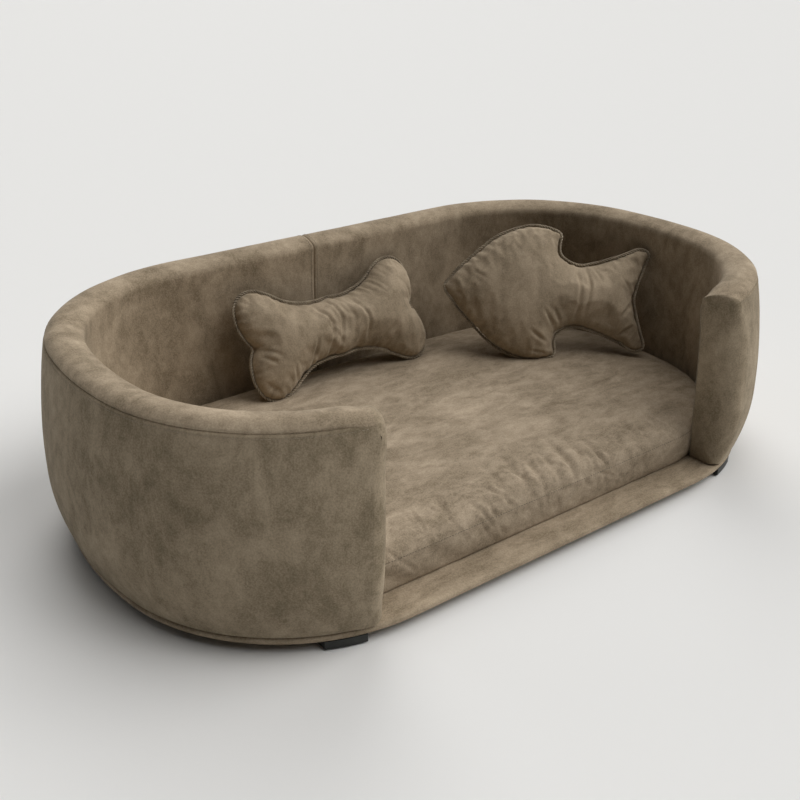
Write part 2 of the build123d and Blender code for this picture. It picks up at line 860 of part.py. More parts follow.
mattress_top_z = mattress_seam + mattress_crown
fish_reach = fish_length / 2 * cos(radians(fish_yaw))
fish_x = half_length - wall_thickness - fish_wall_room - fish_reach
fish_center = (
    fish_x,
    fish_y,
    mattress_top_z + fish_rise + fish_height / 2 * cos(radians(fish_lean)),
)
bone_x = fish_x - fish_reach - pillow_spacing - bone_length / 2
bone_back_y = side_y(abs(bone_x) + bone_length / 2, wall_thickness) - bone_wall_room
bone_center = (
    bone_x,
    bone_back_y - bone_height / 2 * sin(radians(bone_lean)),
    mattress_top_z + bone_rise + bone_height / 2 * cos(radians(bone_lean)),
)
pillow(
    "bone_pillow",
    pillow_plane(bone_center, bone_yaw, bone_lean, bone_roll),
    bone_points,
    bone_length,
    bone_height,
    bone_half_thickness,
)
pillow(
    "fish_pillow",
    pillow_plane(fish_center, fish_yaw, fish_lean, fish_roll),
    fish_points,
    fish_length,
    fish_height,
    fish_half_thickness,
)
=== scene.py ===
# %% [markdown]
# # A velvet pet bed, dressed around its imported model
# The bed is an oval sofa for a pet: a padded wall on a thin base, open at the front, with a
# loose mattress and two pillows. The imported model gives the hard frame and the bodies that
# move. This lesson makes what the eye sees: stretched covers, a slack mattress, stuffed
# pillows, twisted trims, stitches and a napped velvet.
# It starts with the frame.

import math

import bmesh
import bpy
import numpy as np
from mathutils import Matrix, Vector, geometry


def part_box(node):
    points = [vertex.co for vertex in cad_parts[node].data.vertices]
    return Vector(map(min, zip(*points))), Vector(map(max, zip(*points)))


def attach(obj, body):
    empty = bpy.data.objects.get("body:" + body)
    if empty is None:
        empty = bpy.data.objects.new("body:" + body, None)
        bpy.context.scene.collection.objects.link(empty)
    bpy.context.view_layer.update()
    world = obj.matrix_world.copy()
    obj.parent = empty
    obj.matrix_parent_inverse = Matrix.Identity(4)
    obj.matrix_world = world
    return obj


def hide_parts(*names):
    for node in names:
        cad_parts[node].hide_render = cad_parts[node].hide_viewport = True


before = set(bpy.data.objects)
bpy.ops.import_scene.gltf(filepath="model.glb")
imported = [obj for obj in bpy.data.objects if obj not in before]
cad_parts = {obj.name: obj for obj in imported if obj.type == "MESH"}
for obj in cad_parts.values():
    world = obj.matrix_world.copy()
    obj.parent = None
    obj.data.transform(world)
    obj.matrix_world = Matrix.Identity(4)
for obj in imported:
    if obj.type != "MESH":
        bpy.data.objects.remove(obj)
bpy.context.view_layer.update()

# %% [markdown]
# # Measures
# Every size is in metres and in the frame's own axes: X along the bed, Y from the entrance to
# the back, Z up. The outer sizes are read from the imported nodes, so that the covers follow
# them. The others name what a sewer would measure on the real bed.

# %% sizes of the bed
half_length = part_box("right_outer_cover")[1].x
half_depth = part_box("right_outer_cover")[1].y
bed_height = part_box("right_inner_cover")[1].z
base_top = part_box("right_outer_cover")[0].z
corner_radius = 0.263
end_radius = 0.526
wall_thickness = 0.060
belly_height = 0.105
foot_inset = 0.017
top_seam_inset = 0.0175
top_seam_height = bed_height - 0.011
inner_rim_radius = 0.005
top_crest_inset = 0.034
top_fall_radius = 0.0486
rim_lean = 0.003
rim_lean_depth = 0.07
entrance_half_width = 0.262
entrance_splay = math.radians(16)
back_seam_x = -0.020
cloth_thickness = 0.0014
print("bed", round(2 * half_length, 3), "by", round(2 * half_depth, 3), "by", round(bed_height, 3))

# %% [markdown]
# # The plan of the bed
# The outline is a chain of lines and arcs that meet without a kink, as a joiner draws an oval.
# Each offset of such a chain shares its normals, so one function that gives the point and the
# outward normal at a length along the widest line is enough to place everything: a point of
# the wall is the point on the widest line, moved in along the normal by an inset.

# %% points and normals along the widest line
corner_y = half_depth - corner_radius
end_x = half_length - end_radius
corner_x = end_x + math.sqrt((end_radius - corner_radius) ** 2 - corner_y ** 2)
end_sweep = math.asin(corner_y / (end_radius - corner_radius))
quarter = math.pi / 2
plan_arcs = (
    ((corner_x, -corner_y), corner_radius, -quarter, -end_sweep),
    ((end_x, 0), end_radius, -end_sweep, end_sweep),
    ((corner_x, corner_y), corner_radius, end_sweep, quarter),
)
arc_lengths = [radius * (stop - start) for _, radius, start, stop in plan_arcs]
right_length = 2 * corner_x + sum(arc_lengths)
plan_length = 2 * right_length


def plan_at(length):
    """Points on the widest line and outward normals, from the front's middle to the right."""
    length = np.asarray(length, float) % plan_length
    flip = np.where(length >= right_length, -1.0, 1.0)
    along = length % right_length
    point = np.stack([along, np.full_like(along, -half_depth)], -1)
    normal = np.stack([np.zeros_like(along), np.full_like(along, -1.0)], -1)
    done = corner_x
    for (center_x, center_y), radius, start, stop in plan_arcs:
        angle = start + (along - done) / radius
        spoke = np.stack([np.cos(angle), np.sin(angle)], -1)
        here = (along >= done)[..., None]
        point = np.where(here, np.array([center_x, center_y]) + radius * spoke, point)
        normal = np.where(here, spoke, normal)
        done += radius * (stop - start)
    last = along >= done
    back = np.stack([corner_x - (along - done), np.full_like(along, half_depth)], -1)
    point = np.where(last[..., None], back, point)
    normal = np.where(last[..., None], np.array([0.0, 1.0]), normal)
    return point * flip[..., None], normal * flip[..., None]


def smooth(x):
    """A share from 0 to 1 that starts and stops gently."""
    x = np.clip(x, 0, 1)
    return x * x * (3 - 2 * x)


print("widest line", round(plan_length, 3), "m round")

# %% [markdown]
# # The run of the wall
# The wall doesn't go all the way round: it stops at the entrance, where its ends are cut on a
# slant. Near an end the insets reach the cut at different lengths, so the run is skewed there
# and straightens within a hand's width. On the real bed the cuts aren't quite plane either:
# four small shifts per end, one for each corner of its face, lean and twist it.

# %% wall coordinates to space
end_reach = 0.15
right_end_shifts = ((0.003, 0.010), (0.029, 0.002))
left_end_shifts = ((0.010, 0.001), (0.008, 0.001))


def end_length(inset):
    """Length along the widest line at which an inset meets the slanted cut on the right."""
    inner_y = half_depth - wall_thickness
    offset = entrance_half_width - corner_x + (corner_y - inner_y) * math.tan(entrance_splay)
    radius = corner_radius - inset
    angle = entrance_splay + np.arcsin(offset * math.cos(entrance_splay) / radius)
    return corner_x + corner_radius * angle


def end_shift(shifts, inset, height):
    """How far an end stands back at a place of its face, between its corners' shifts."""
    (outer_foot, outer_top), (inner_foot, inner_top) = shifts
    across = np.clip(inset / wall_thickness, 0, 1)
    up = np.clip((height - base_top) / (bed_height - base_top), 0, 1)
    foot = outer_foot + (inner_foot - outer_foot) * across
    top = outer_top + (inner_top - outer_top) * across
    return foot + (top - foot) * up


wall_start = float(end_length(wall_thickness / 2))
wall_length = plan_length - 2 * wall_start
back_seam_run = right_length - back_seam_x - wall_start


def wall_point(run, inset, height):
    """Space points for runs along the wall, insets from its widest line and heights."""
    run, inset, height = np.broadcast_arrays(run, inset, height)
    skew = end_length(inset) - wall_start
    from_right = 1 - smooth(run / end_reach)
    from_left = 1 - smooth((wall_length - run) / end_reach)
    length = wall_start + run
    length = length + (skew + end_shift(right_end_shifts, inset, height)) * from_right
    length = length - (skew + end_shift(left_end_shifts, inset, height)) * from_left
    point, normal = plan_at(length)
    flat = point - normal * inset[..., None]
    return np.concatenate([flat, height[..., None]], -1)


print("wall run", round(wall_length, 3), "m, seam at", round(back_seam_run, 3), "m")

# %% [markdown]
# # Grids into pieces
# A cover is a grid of points: rows across the section, columns along the run. Building the
# mesh from one array keeps the quads even, which is what a soft surface needs to shade well.
# A Solidify modifier then gives the cloth its thickness, so that each cover is a closed piece.
# Its cut edges are marked sharp, or they would darken the smooth shading next to them.

# %% grid mesh helpers
def mesh_object(name, points, faces, material=None):
    """A smooth-shaded object from points and faces."""
    mesh = bpy.data.meshes.new(name)
    mesh.from_pydata(np.asarray(points).reshape(-1, 3).tolist(), [], faces)
    mesh.update()
    mesh.shade_smooth()
    piece = bpy.data.objects.new(name, mesh)
    bpy.context.scene.collection.objects.link(piece)
    if material:
        mesh.materials.append(material)
    return piece


def grid_faces(rows, columns, closed=False):
    """Quads of a grid of points, row by row; a closed grid joins its last column to its first."""
    faces = []
    for row in range(rows - 1):
        for column in range(columns if closed else columns - 1):
            right = (column + 1) % columns
            low, high = row * columns, (row + 1) * columns
            faces.append((low + column, low + right, high + right, high + column))
    return faces


def face_outwards(piece):
    """Turns every face of a closed piece to point outwards."""
    shape = bmesh.new()
    shape.from_mesh(piece.data)
    bmesh.ops.remove_doubles(shape, verts=shape.verts, dist=0.00001)
    bmesh.ops.recalc_face_normals(shape, faces=shape.faces)
    shape.to_mesh(piece.data)
    shape.free()


def apply_modifiers(piece):
    """Replaces a piece's mesh by the finished one and removes its modifiers."""
    graph = bpy.context.evaluated_depsgraph_get()
    finished = bpy.data.meshes.new_from_object(piece.evaluated_get(graph))
    finished.name = piece.name
    piece.modifiers.clear()
    old = piece.data
    piece.data = finished
    bpy.data.meshes.remove(old)
    return piece


def thicken(piece, thickness):
    """Gives a single layer of cloth its thickness, inwards from the side that shows."""
    solid = piece.modifiers.new("thickness", "SOLIDIFY")
    solid.thickness = thickness
    solid.offset = -1
    apply_modifiers(piece)
    piece.data.set_sharp_from_angle(angle=math.radians(65))
    return piece


def noise(points, scale, seed=0.0, octaves=3):
    """Smooth noise from about -1 to 1 at space points, the same on every run."""
    points = np.asarray(points, float) * scale + seed
    total = np.zeros(points.shape[:-1])
    size = 1.0
    for octave in range(octaves):
        turned = points @ np.array([[0.8, 0.6, 0.1], [-0.55, 0.75, 0.35], [0.15, -0.35, 0.92]])
        wave = np.sin(turned[..., 0] + 1.7 * np.sin(turned[..., 1] * 0.73 + octave))
        wave = wave * np.cos(turned[..., 1] * 1.1 + np.sin(turned[..., 2] * 0.9 + 2.1 * octave))
        total += size * (wave + 0.5 * np.sin(turned[..., 2] * 1.3 + turned[..., 0] * 0.6))
        points = turned * 1.93 + 4.7
        size *= 0.55
    return total / 1.9


def path_length(points):
    """Lengths along a polyline up to each of its points."""
    return np.concatenate([[0], np.cumsum(np.linalg.norm(np.diff(points, axis=0), axis=1))])


def along_path(points, at):
    """The points of a polyline at lengths along it."""
    points = np.asarray(points, float)
    lengths = path_length(points)
    return np.stack([np.interp(at, lengths, values) for values in points.T], -1)


def spread(points, step):
    """A polyline resampled to even steps, keeping both ends."""
    width = path_length(points)[-1]
    return along_path(points, np.linspace(0, width, max(2, int(round(width / step)) + 1)))


def settle(piece, body, replaced=()):
    """Hides the imported parts that a finished piece stands for, and ties it to the body it moves
    with.
    """
    if replaced:
        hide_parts(*replaced)
    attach(piece, body)
    print(piece.name, len(piece.data.polygons), "faces")
    return piece


print("helpers ready")

# %% [markdown]
# # Sheets of triangles
# The wall's ends, the mattress's top and the pillows all start as flat sheets cut to an
# outline. Quads would force folds into rows, so a sheet is filled with an even net of
# triangles, joined by Delaunay's rule. The distance of each point to the edge later steers
# roundings, puckers and seams.

# %% cut a sheet
def arc_through(start, middle, stop, count):
    """Points on the arc through three points, without the last."""
    a, m, b = map(np.array, (start, middle, stop))
    double = 2 * (a[0] * (m[1] - b[1]) + m[0] * (b[1] - a[1]) + b[0] * (a[1] - m[1]))
    shares = np.linspace(0, 1, count, endpoint=False)
    if abs(double) < 1e-9:
        return a + (b - a) * shares[:, None]
    x = ((a @ a) * (m[1] - b[1]) + (m @ m) * (b[1] - a[1]) + (b @ b) * (a[1] - m[1])) / double
    y = ((a @ a) * (b[0] - m[0]) + (m @ m) * (a[0] - b[0]) + (b @ b) * (m[0] - a[0])) / double
    center = np.array([x, y])
    angles = [math.atan2(*(p - center)[::-1]) for p in (a, m, b)]
    sweep = (angles[2] - angles[0]) % math.tau
    if (angles[1] - angles[0]) % math.tau > sweep:
        sweep -= math.tau
    turn = angles[0] + sweep * shares
    return center + np.linalg.norm(a - center) * np.stack([np.cos(turn), np.sin(turn)], -1)


def even_ring(points, step):
    """A closed ring resampled to even steps."""
    closed = np.concatenate([points, points[:1]])
    length = path_length(closed)[-1]
    return along_path(closed, np.linspace(0, length, int(round(length / step)), endpoint=False))


def edge_distance(points, ring):
    """Distance from points to a closed ring, the run along it there, and whether inside."""
    after = np.roll(ring, -1, 0)
    steps = np.linalg.norm(after - ring, axis=1)
    runs = np.concatenate([[0], np.cumsum(steps)[:-1]])
    best = np.full(len(points), 9.0)
    run = np.zeros(len(points))
    inside = np.zeros(len(points), bool)
    for start, stop, step, length in zip(ring, after, steps, runs):
        share = np.clip(((points - start) @ (stop - start)) / step ** 2, 0, 1)
        far = np.linalg.norm(start + share[:, None] * (stop - start) - points, axis=1)
        closer = far < best
        best = np.where(closer, far, best)
        run = np.where(closer, length + share * step, run)
        spans = (start[1] > points[:, 1]) != (stop[1] > points[:, 1])
        slope = (stop[0] - start[0]) / (stop[1] - start[1] + 1e-15)
        inside ^= spans & (points[:, 0] < start[0] + (points[:, 1] - start[1]) * slope)
    return best, run, inside


def ring_outwards(ring, amount):
    """A closed flat ring moved outwards by an amount."""
    along = np.roll(ring, -1, 0) - np.roll(ring, 1, 0)
    along /= np.linalg.norm(along, axis=1, keepdims=True)
    outward = np.stack([along[:, 1], -along[:, 0]], -1)
    area = np.sum(ring[:, 0] * np.roll(ring[:, 1], -1) - ring[:, 1] * np.roll(ring[:, 0], -1))
    return ring + outward * amount * (1 if area > 0 else -1)


def cut_sheet(ring, step, rows_in=()):
    """Flat points inside a ring, the ring's own first, and the triangles that join them.

    rows_in lists distances from the edge at which rows of extra points follow it.
    """
    low, high = ring.min(0), ring.max(0)
    levels = np.arange(low[1], high[1], step * math.sqrt(3) / 2)
    along = np.arange(low[0], high[0], step)
    net = np.array([(x + (row % 2) * step / 2, y) for row, y in enumerate(levels) for x in along])
    far, _, inside = edge_distance(net, ring)
    edge_room = max((*rows_in, 0)) + step * 0.6
    parts = [ring]
    for distance in rows_in:
        row = ring_outwards(ring, -distance)
        near, _, held = edge_distance(row, ring)
        parts.append(row[held & (near > distance * 0.93)])
    parts.append(net[inside & (far > edge_room)])
    points = np.concatenate(parts)
    edges = [(i, (i + 1) % len(ring)) for i in range(len(ring))]
    made, _, faces, *_ = geometry.delaunay_2d_cdt([Vector(p) for p in points], edges, [], 1, 1e-7)
    flat = np.array([tuple(p) for p in made])
    return flat, [tuple(face) for face in faces]


def blown_height(flat, faces, rim, rounds=900):
    """A smooth height from 0 at the rim to 1, as a film of soap would stand over the outline."""
    pairs = np.array([(a, b) for face in faces for a, b in zip(face, face[1:] + face[:1])])
    ends = np.concatenate([pairs, pairs[:, ::-1]])
    degree = np.bincount(ends[:, 0], minlength=len(flat)).astype(float)
    height = np.zeros(len(flat))
    for _ in range(rounds):
        total = np.bincount(ends[:, 0], weights=height[ends[:, 1]], minlength=len(flat))
        height = (total + 1) / degree
        height[:rim] = 0
    return np.sqrt(np.clip(height / height.max(), 0, 1))


print("sheet tools ready")

# %% [markdown]
# # Shader maths in plain Python
# A material is a tree of nodes, and wiring each Math node by hand hides the idea behind it.
# This small class wraps a socket. Adding, multiplying or comparing wrapped sockets adds the
# Math node for it, so a mask can be written as a formula. One method adds any other node.

# %% a socket that can be calculated with
def link_or_set(tree, socket, value):
    """Joins a socket to a wrapped socket or a plain one, or sets its value."""
    if isinstance(value, Shade):
        tree.links.new(value.socket, socket)
    elif isinstance(value, bpy.types.NodeSocket):
        tree.links.new(value, socket)
    else:
        socket.default_value = value


def add_node(tree, kind, settings=None, inputs=None):
    """Adds a node to a tree: its type, its settings, then the values or links of its sockets."""
    node = tree.nodes.new(kind)
    for key, value in (settings or {}).items():
        setattr(node, key, value)
    for key, value in (inputs or {}).items():
        link_or_set(tree, node.inputs[key], value)
    return node


class Shade:
    """A value in a material's tree."""

    def __init__(self, tree, socket):
        self.tree = tree
        self.socket = socket

    def node(self, kind, settings=None, inputs=None, output=0):
        """Any other node, and the output that is wanted."""
        return Shade(self.tree, add_node(self.tree, kind, settings, inputs).outputs[output])

    def math(self, operation, *values, clamp=False):
        inputs = dict(enumerate(values))
        return self.node("ShaderNodeMath", {"operation": operation, "use_clamp": clamp}, inputs)

    def __add__(self, other):
        return self.math("ADD", self, other)

    def __sub__(self, other):
        return self.math("SUBTRACT", self, other)

    def __rsub__(self, other):
        return self.math("SUBTRACT", other, self)

    def __mul__(self, other):
        return self.math("MULTIPLY", self, other)

    __radd__ = __add__
    __rmul__ = __mul__

    def ramp(self, low, high):
        """A smooth mask: 0 below low, 1 above high."""
        limits = {"Value": self, "From Min": low, "From Max": high}
        return self.node("ShaderNodeMapRange", {"interpolation_type": "SMOOTHSTEP"}, limits)

    def mix(self, first, second):
        """Goes from the first colour to the second as this value goes from 0 to 1."""
        inputs = {0: self, 6: (*first, 1), 7: (*second, 1)}
        return self.node("ShaderNodeMix", {"data_type": "RGBA"}, inputs, 2)


def start_material(name):
    """A new material, and the place on its piece as a wrapped vector."""
    material = bpy.data.materials.new(name)
    material.use_nodes = True
    tree = material.node_tree
    return material, Shade(tree, add_node(tree, "ShaderNodeTexCoord").outputs["Object"])


def finish_material(material, values):
    """Links or sets the named sockets of a material's principled shader."""
    tree = material.node_tree
    for socket, value in values.items():
        link_or_set(tree, tree.nodes["Principled BSDF"].inputs[socket], value)
    return material


def grain(place, scale, detail=3.0, rough=0.55, warp=0.0, stretch=(1, 1, 1), shift=(0, 0, 0)):
    """Noise on a piece: scale in waves a metre, stretched and shifted as asked."""
    inputs = {"Vector": place, "Scale": stretch, "Location": shift}
    moved = place.node("ShaderNodeMapping", None, inputs)
    inputs = {"Vector": moved, "Scale": scale, "Detail": detail, "Roughness": rough}
    return place.node("ShaderNodeTexNoise", None, {**inputs, "Distortion": warp})


def bump(place, height, distance, strength=1.0, under=None):
    """A Bump node over another, for a height in metres."""
    inputs = {"Height": height, "Distance": distance, "Strength": strength}
    if under:
        inputs["Normal"] = under
    return place.node("ShaderNodeBump", None, inputs)


print("shader maths ready")

# %% [markdown]
# # Velvet
# Short-pile velvet looks mottled because its pile lies in patches: where hands or paws have
# brushed it, it turns lighter or darker. The patches are soft, a few centimetres across, and
# run in streaks. Three noises of different size, warped into each other, give the patches; a
# fine one gives the pile. The pile also lights up along edges seen at a slant, which is what
# the Sheen of the principled shader is for.

# %% velvet materials
def velvet(name, dark, light, stretch, patch=1.0):
    """A napped velvet between two colours, its strokes stretched along the piece."""
    material, place = start_material(name)
    broad = grain(place, 6.0, 2.0, rough=0.5, warp=0.4, shift=(0.3, 0.1, 0.7))
    blotch = grain(place, 19.0, 5.0, 0.66, 0.5, stretch, shift=(0.9, 0.4, 0.2))
    strokes = grain(place, 62.0, 4.0, 0.68, 0.35, stretch, shift=(0.1, 0.8, 0.5))
    pile = grain(place, 520.0, 2.0, rough=0.6)
    soft_patches = broad.ramp(0.35, 0.65) * 0.14 + blotch.ramp(0.34, 0.66) * 0.34
    fine_patches = strokes.ramp(0.34, 0.66) * 0.24 + pile.ramp(0.28, 0.72) * 0.28
    nap = (soft_patches + fine_patches - 0.5) * patch + 0.5
    return finish_material(material, {
        "Base Color": nap.mix(dark, light),
        "Roughness": (1 - nap) * 0.12 + 0.84,
        "Specular IOR Level": 0.08,
        "Sheen Weight": 0.16,
        "Sheen Roughness": 0.38,
        "Sheen Tint": (0.95, 0.88, 0.76, 1),
        "Normal": bump(place, pile, 0.0007, 0.45, bump(place, strokes, 0.0016, 0.5)),
    })


plain_pair = (0.162, 0.125, 0.079), (0.500, 0.402, 0.291)
# The darker, greener pair is partly the nap's own tone and partly painted shade for the outer sides
# and end faces, which face away from the lamps.
painted_shade_pair = (0.139, 0.109, 0.067), (0.430, 0.348, 0.247)
# The mattress's pair is lighter and a little bluer; its extra lightness is painted light, for the
# light the walls keep off the mattress top.
painted_light_pair = (0.178, 0.139, 0.091), (0.525, 0.425, 0.315)
wall_velvet = velvet("wall_velvet", *plain_pair, (1.0, 1.0, 0.7))
painted_shade_velvet = velvet("painted_shade_velvet", *painted_shade_pair, (1.0, 1.0, 0.7))
bed_velvet = velvet("mattress_velvet", *painted_light_pair, (0.7, 1.2, 1.0))
pillow_velvet = velvet("pillow_velvet", *plain_pair, (1.0, 0.8, 0.8), 0.75)
base_velvet = velvet("base_velvet", *plain_pair, (0.6, 1.2, 1.0))
print("velvets:", [m.name for m in bpy.data.materials if "velvet" in m.name])

# %% [markdown]
# # Thread, lining and the hard parts
# Each of the other finishes has its own small clue: twisted thread has fine slanted ribs,
# lining is a plain weave, moulded plastic has a spark-eroded texture, plywood shows its grain,
# and zinc-plated steel is brushed. Each is a formula of one or two noises or waves.

# %% other materials
def trim_cord(name, dark, light):
    """Twisted gimp cord: pile-like fibres in patchy tone."""
    material, place = start_material(name)
    fibre = grain(place, 900.0, 2.0, 0.6, 0.4)
    patch = grain(place, 60.0, 3.0)
    return finish_material(material, {
        "Base Color": (fibre * 0.55 + patch * 0.45).ramp(0.3, 0.7).mix(dark, light),
        "Roughness": 0.95 - fibre * 0.15,
        "Specular IOR Level": 0.2,
        "Sheen Weight": 0.15,
        "Normal": bump(place, fibre, 0.0005, 0.6),
    })


def woven(name, dark, light, threads):
    """A plain weave of so many threads a metre."""
    material, place = start_material(name)
    waves = []
    for axis in (0, 1):
        along = place.node("ShaderNodeSeparateXYZ", None, {"Vector": place}, axis)
        waves.append(along.math("SINE", along * (threads * math.tau)))
    cloth = waves[0] * waves[1] * 0.5 + 0.5
    worn = grain(place, 14.0, 4.0)
    return finish_material(material, {
        "Base Color": (cloth * 0.5 + worn * 0.5).ramp(0.2, 0.8).mix(dark, light),
        "Roughness": worn * 0.15 + 0.78,
        "Normal": bump(place, cloth, 0.0004, 0.5),
    })


def moulded(name, dark, light, rough, pits):
    """Moulded plastic or rubber with a fine cast texture and dusty wear."""
    material, place = start_material(name)
    cast = grain(place, pits, 2.0, 0.6)
    dust = grain(place, 24.0, 5.0, 0.65, 0.4)
    return finish_material(material, {
        "Base Color": dust.ramp(0.35, 0.75).mix(dark, light),
        "Roughness": dust * 0.2 + rough,
        "Normal": bump(place, cast, 0.0004, 0.4),
    })


def plated(name, dark, light):
    """Plated steel with fine brushing and dull spots."""
    material, place = start_material(name)
    brushing = grain(place, 500.0, 2.0, 0.5, 0.0, (1, 1, 0.05))
    spots = grain(place, 120.0, 3.0)
    return finish_material(material, {
        "Base Color": spots.mix(dark, light),
        "Roughness": brushing * 0.25 + 0.28,
        "Metallic": 1.0,
        "Normal": bump(place, brushing, 0.0002, 0.4),
    })


def plywood(name):
    """Bare birch plywood: long grain bands with small dark flecks."""
    material, place = start_material(name)
    bands = grain(place, 30.0, 5.0, 0.6, 1.6, (0.12, 1, 1))
    flecks = grain(place, 260.0, 2.0, 0.5, 0.2, (0.08, 1, 1))
    mask = bands * 0.75 + flecks.ramp(0.55, 0.72) * 0.25
    return finish_material(material, {
        "Base Color": mask.mix((0.42, 0.28, 0.15), (0.68, 0.52, 0.33)),
        "Roughness": bands * 0.2 + 0.55,
        "Normal": bump(place, flecks, 0.0003, 0.4),
    })


pillow_trim = trim_cord("pillow_trim", (0.15, 0.118, 0.080), (0.50, 0.42, 0.31))
seam_thread = trim_cord("seam_thread", (0.05, 0.038, 0.026), (0.12, 0.094, 0.066))
# Pale thread for the wall's stitches, and a painted highlight on the end piping.
pale_thread_and_highlight = trim_cord("pale_thread_and_highlight", (0.20, 0.160, 0.112), (0.40, 0.335, 0.250))
lining = woven("black_lining", (0.012, 0.011, 0.010), (0.035, 0.033, 0.030), 1200)
zip_ribbon = woven("zip_ribbon", (0.055, 0.042, 0.029), (0.10, 0.078, 0.054), 1600)
foot_plastic = moulded("foot_plastic", (0.010, 0.011, 0.009), (0.030, 0.031, 0.027), 0.42, 900)
grip_rubber = moulded("grip_rubber", (0.008, 0.008, 0.008), (0.022, 0.022, 0.021), 0.72, 1400)
zip_coil = moulded("zip_coil", (0.05, 0.038, 0.026), (0.085, 0.066, 0.046), 0.38, 2500)
screw_steel = plated("screw_steel", (0.50, 0.50, 0.47), (0.68, 0.68, 0.65))
slider_metal = plated("slider_metal", (0.20, 0.18, 0.155), (0.34, 0.31, 0.27))
birch = plywood("birch_plywood")

node_finishes = (
    (birch, "base_board wall_bottom_rail wall_top_rail wall_studs left_end_post right_end_post"),
    (birch, "wall_outer_panel wall_inner_panel"),
    (foot_plastic, "foot_front_left foot_front_right foot_back_left foot_back_right"),
    (grip_rubber, "foot_pads"),
    (screw_steel, "foot_screws wall_fixing_screws frame_screws"),
    (zip_ribbon, "zip_tape"),
    (slider_metal, "zip_slider"),
)
for finish, nodes in node_finishes:
    for node in nodes.split():
        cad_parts[node].material_slots[0].material = finish
print("finishes on", sum(len(nodes.split()) for _, nodes in node_finishes), "packed nodes")

# %% [markdown]
# # The section of the wall
# Seen from its end, the wall is a padded slab: a side that bellies outwards, a crowned top and
# a rolled inner edge. Close to the entrance the end's cover pulls the top down a little, so
# each end has a shape of its own, with as many points as the plain one, to blend between.

# %% section curves
section_step = 0.006
arc_points = 30
seam_rows = (0, 0.0010, 0.0020, 0.0032, 0.0045)


def side_inset(height):
    """Inset of the bellied side at a height."""
    below = height < belly_height
    drop = np.where(below, belly_height - base_top, top_seam_height - belly_height)
    inset = np.where(below, foot_inset, top_seam_inset)
    radius = (drop ** 2 + inset ** 2) / (2 * inset)
    return radius - np.sqrt(radius ** 2 - (height - belly_height) ** 2)


def top_section(rim_radius, drop):
    """The crowned top, the rolled inner rim and the inner face, from the seam to the base."""
    top = bed_height - drop
    run, rise = top_crest_inset - top_seam_inset, bed_height - top_seam_height - drop * 0.5
    radius = (run ** 2 + rise ** 2) / (2 * rise)
    insets = np.linspace(top_seam_inset, top_crest_inset, arc_points)
    crown = top - radius + np.sqrt(radius ** 2 - (insets - top_crest_inset) ** 2)
    outer = np.stack([insets, crown], -1)
    inner_run = wall_thickness + rim_lean - top_crest_inset
    fall = math.asin((inner_run - rim_radius) / (top_fall_radius - rim_radius))
    turns = np.linspace(0, fall, arc_points)[1:]
    inner = np.stack([np.sin(turns), np.cos(turns) - 1], -1) * top_fall_radius
    inner = inner + [top_crest_inset, top]
    turns = np.linspace(fall, quarter, arc_points)[1:]
    center = inner[-1] - rim_radius * np.array([math.sin(fall), math.cos(fall)])
    rim = center + rim_radius * np.stack([np.sin(turns), np.cos(turns)], -1)
    face = [[wall_thickness, bed_height - rim_lean_depth], [wall_thickness, base_top]]
    return np.concatenate([outer, inner, rim, face])


def section_rows(points, count=None):
    """Rows of a section: even steps, with closer ones next to both edges."""
    width = path_length(points)[-1]
    count = count or int(width / section_step)
    even = np.linspace(seam_rows[-1], width - seam_rows[-1], count)[1:-1]
    edge = np.array(seam_rows)
    at = np.concatenate([edge, even, width - edge[::-1]])
    return along_path(points, at), at / width, width


side_heights = np.linspace(base_top, top_seam_height, 120)
side_line = np.stack([side_inset(side_heights), side_heights], -1)
side_rows, side_shares, side_width = section_rows(side_line)
top_rows, top_shares, top_width = section_rows(top_section(inner_rim_radius, 0))


def end_rows(rim_radius, dip):
    """The side's and the top's rows at an end, where the top dips and has its own rim."""
    top = top_section(rim_radius, dip)
    level = top[0, 1]
    last = [[side_inset(np.array(level)), level]]
    side = np.concatenate([side_line[side_heights < level - 1e-4], last])
    spare = 2 - 2 * len(seam_rows)
    side = section_rows(side, len(side_rows) + spare)[0]
    return side, section_rows(top, len(top_rows) + spare)[0]


right_end_rows = end_rows(0.004, 0.006)
left_end_rows = end_rows(0.008, 0.005)
print("section:", len(side_rows), "rows up the side,", len(top_rows), "over the top")

# %% [markdown]
# # Stretched covers on the wall
# The covers are pulled tight over foam, so they follow it closely: slow waves of about half a
# millimetre and short puckers that start at the seams. Each edge turns in a little at its
# seam, which is what makes a seam read as a fine line. The rounding at the two ends belongs
# to the end covers, so each row stops short of the cut by the radius of that rounding.

# %% wall covers
grid_step = 0.0062
seam_roll = 0.0024
seam_roll_width = 0.0030
wave_height = 0.0006
pucker_height = 0.0003
pucker_reach = 0.010
ripple_rate = 470
end_blend = 0.042
tight_radius = 0.0024
right_rounding = {"side_radius": 0.0270, "top_radius": 0.0035, "top_reach": 0.020}
left_rounding = {"side_radius": 0.0170, "top_radius": 0.0120, "top_reach": 0.060}
body_frame = "bed_frame"
# The outer side wears the darker velvet: partly painted shade.
side_layer = (0, painted_shade_velvet, side_rows, side_shares, side_width)
top_layer = (1, wall_velvet, top_rows, top_shares, top_width)


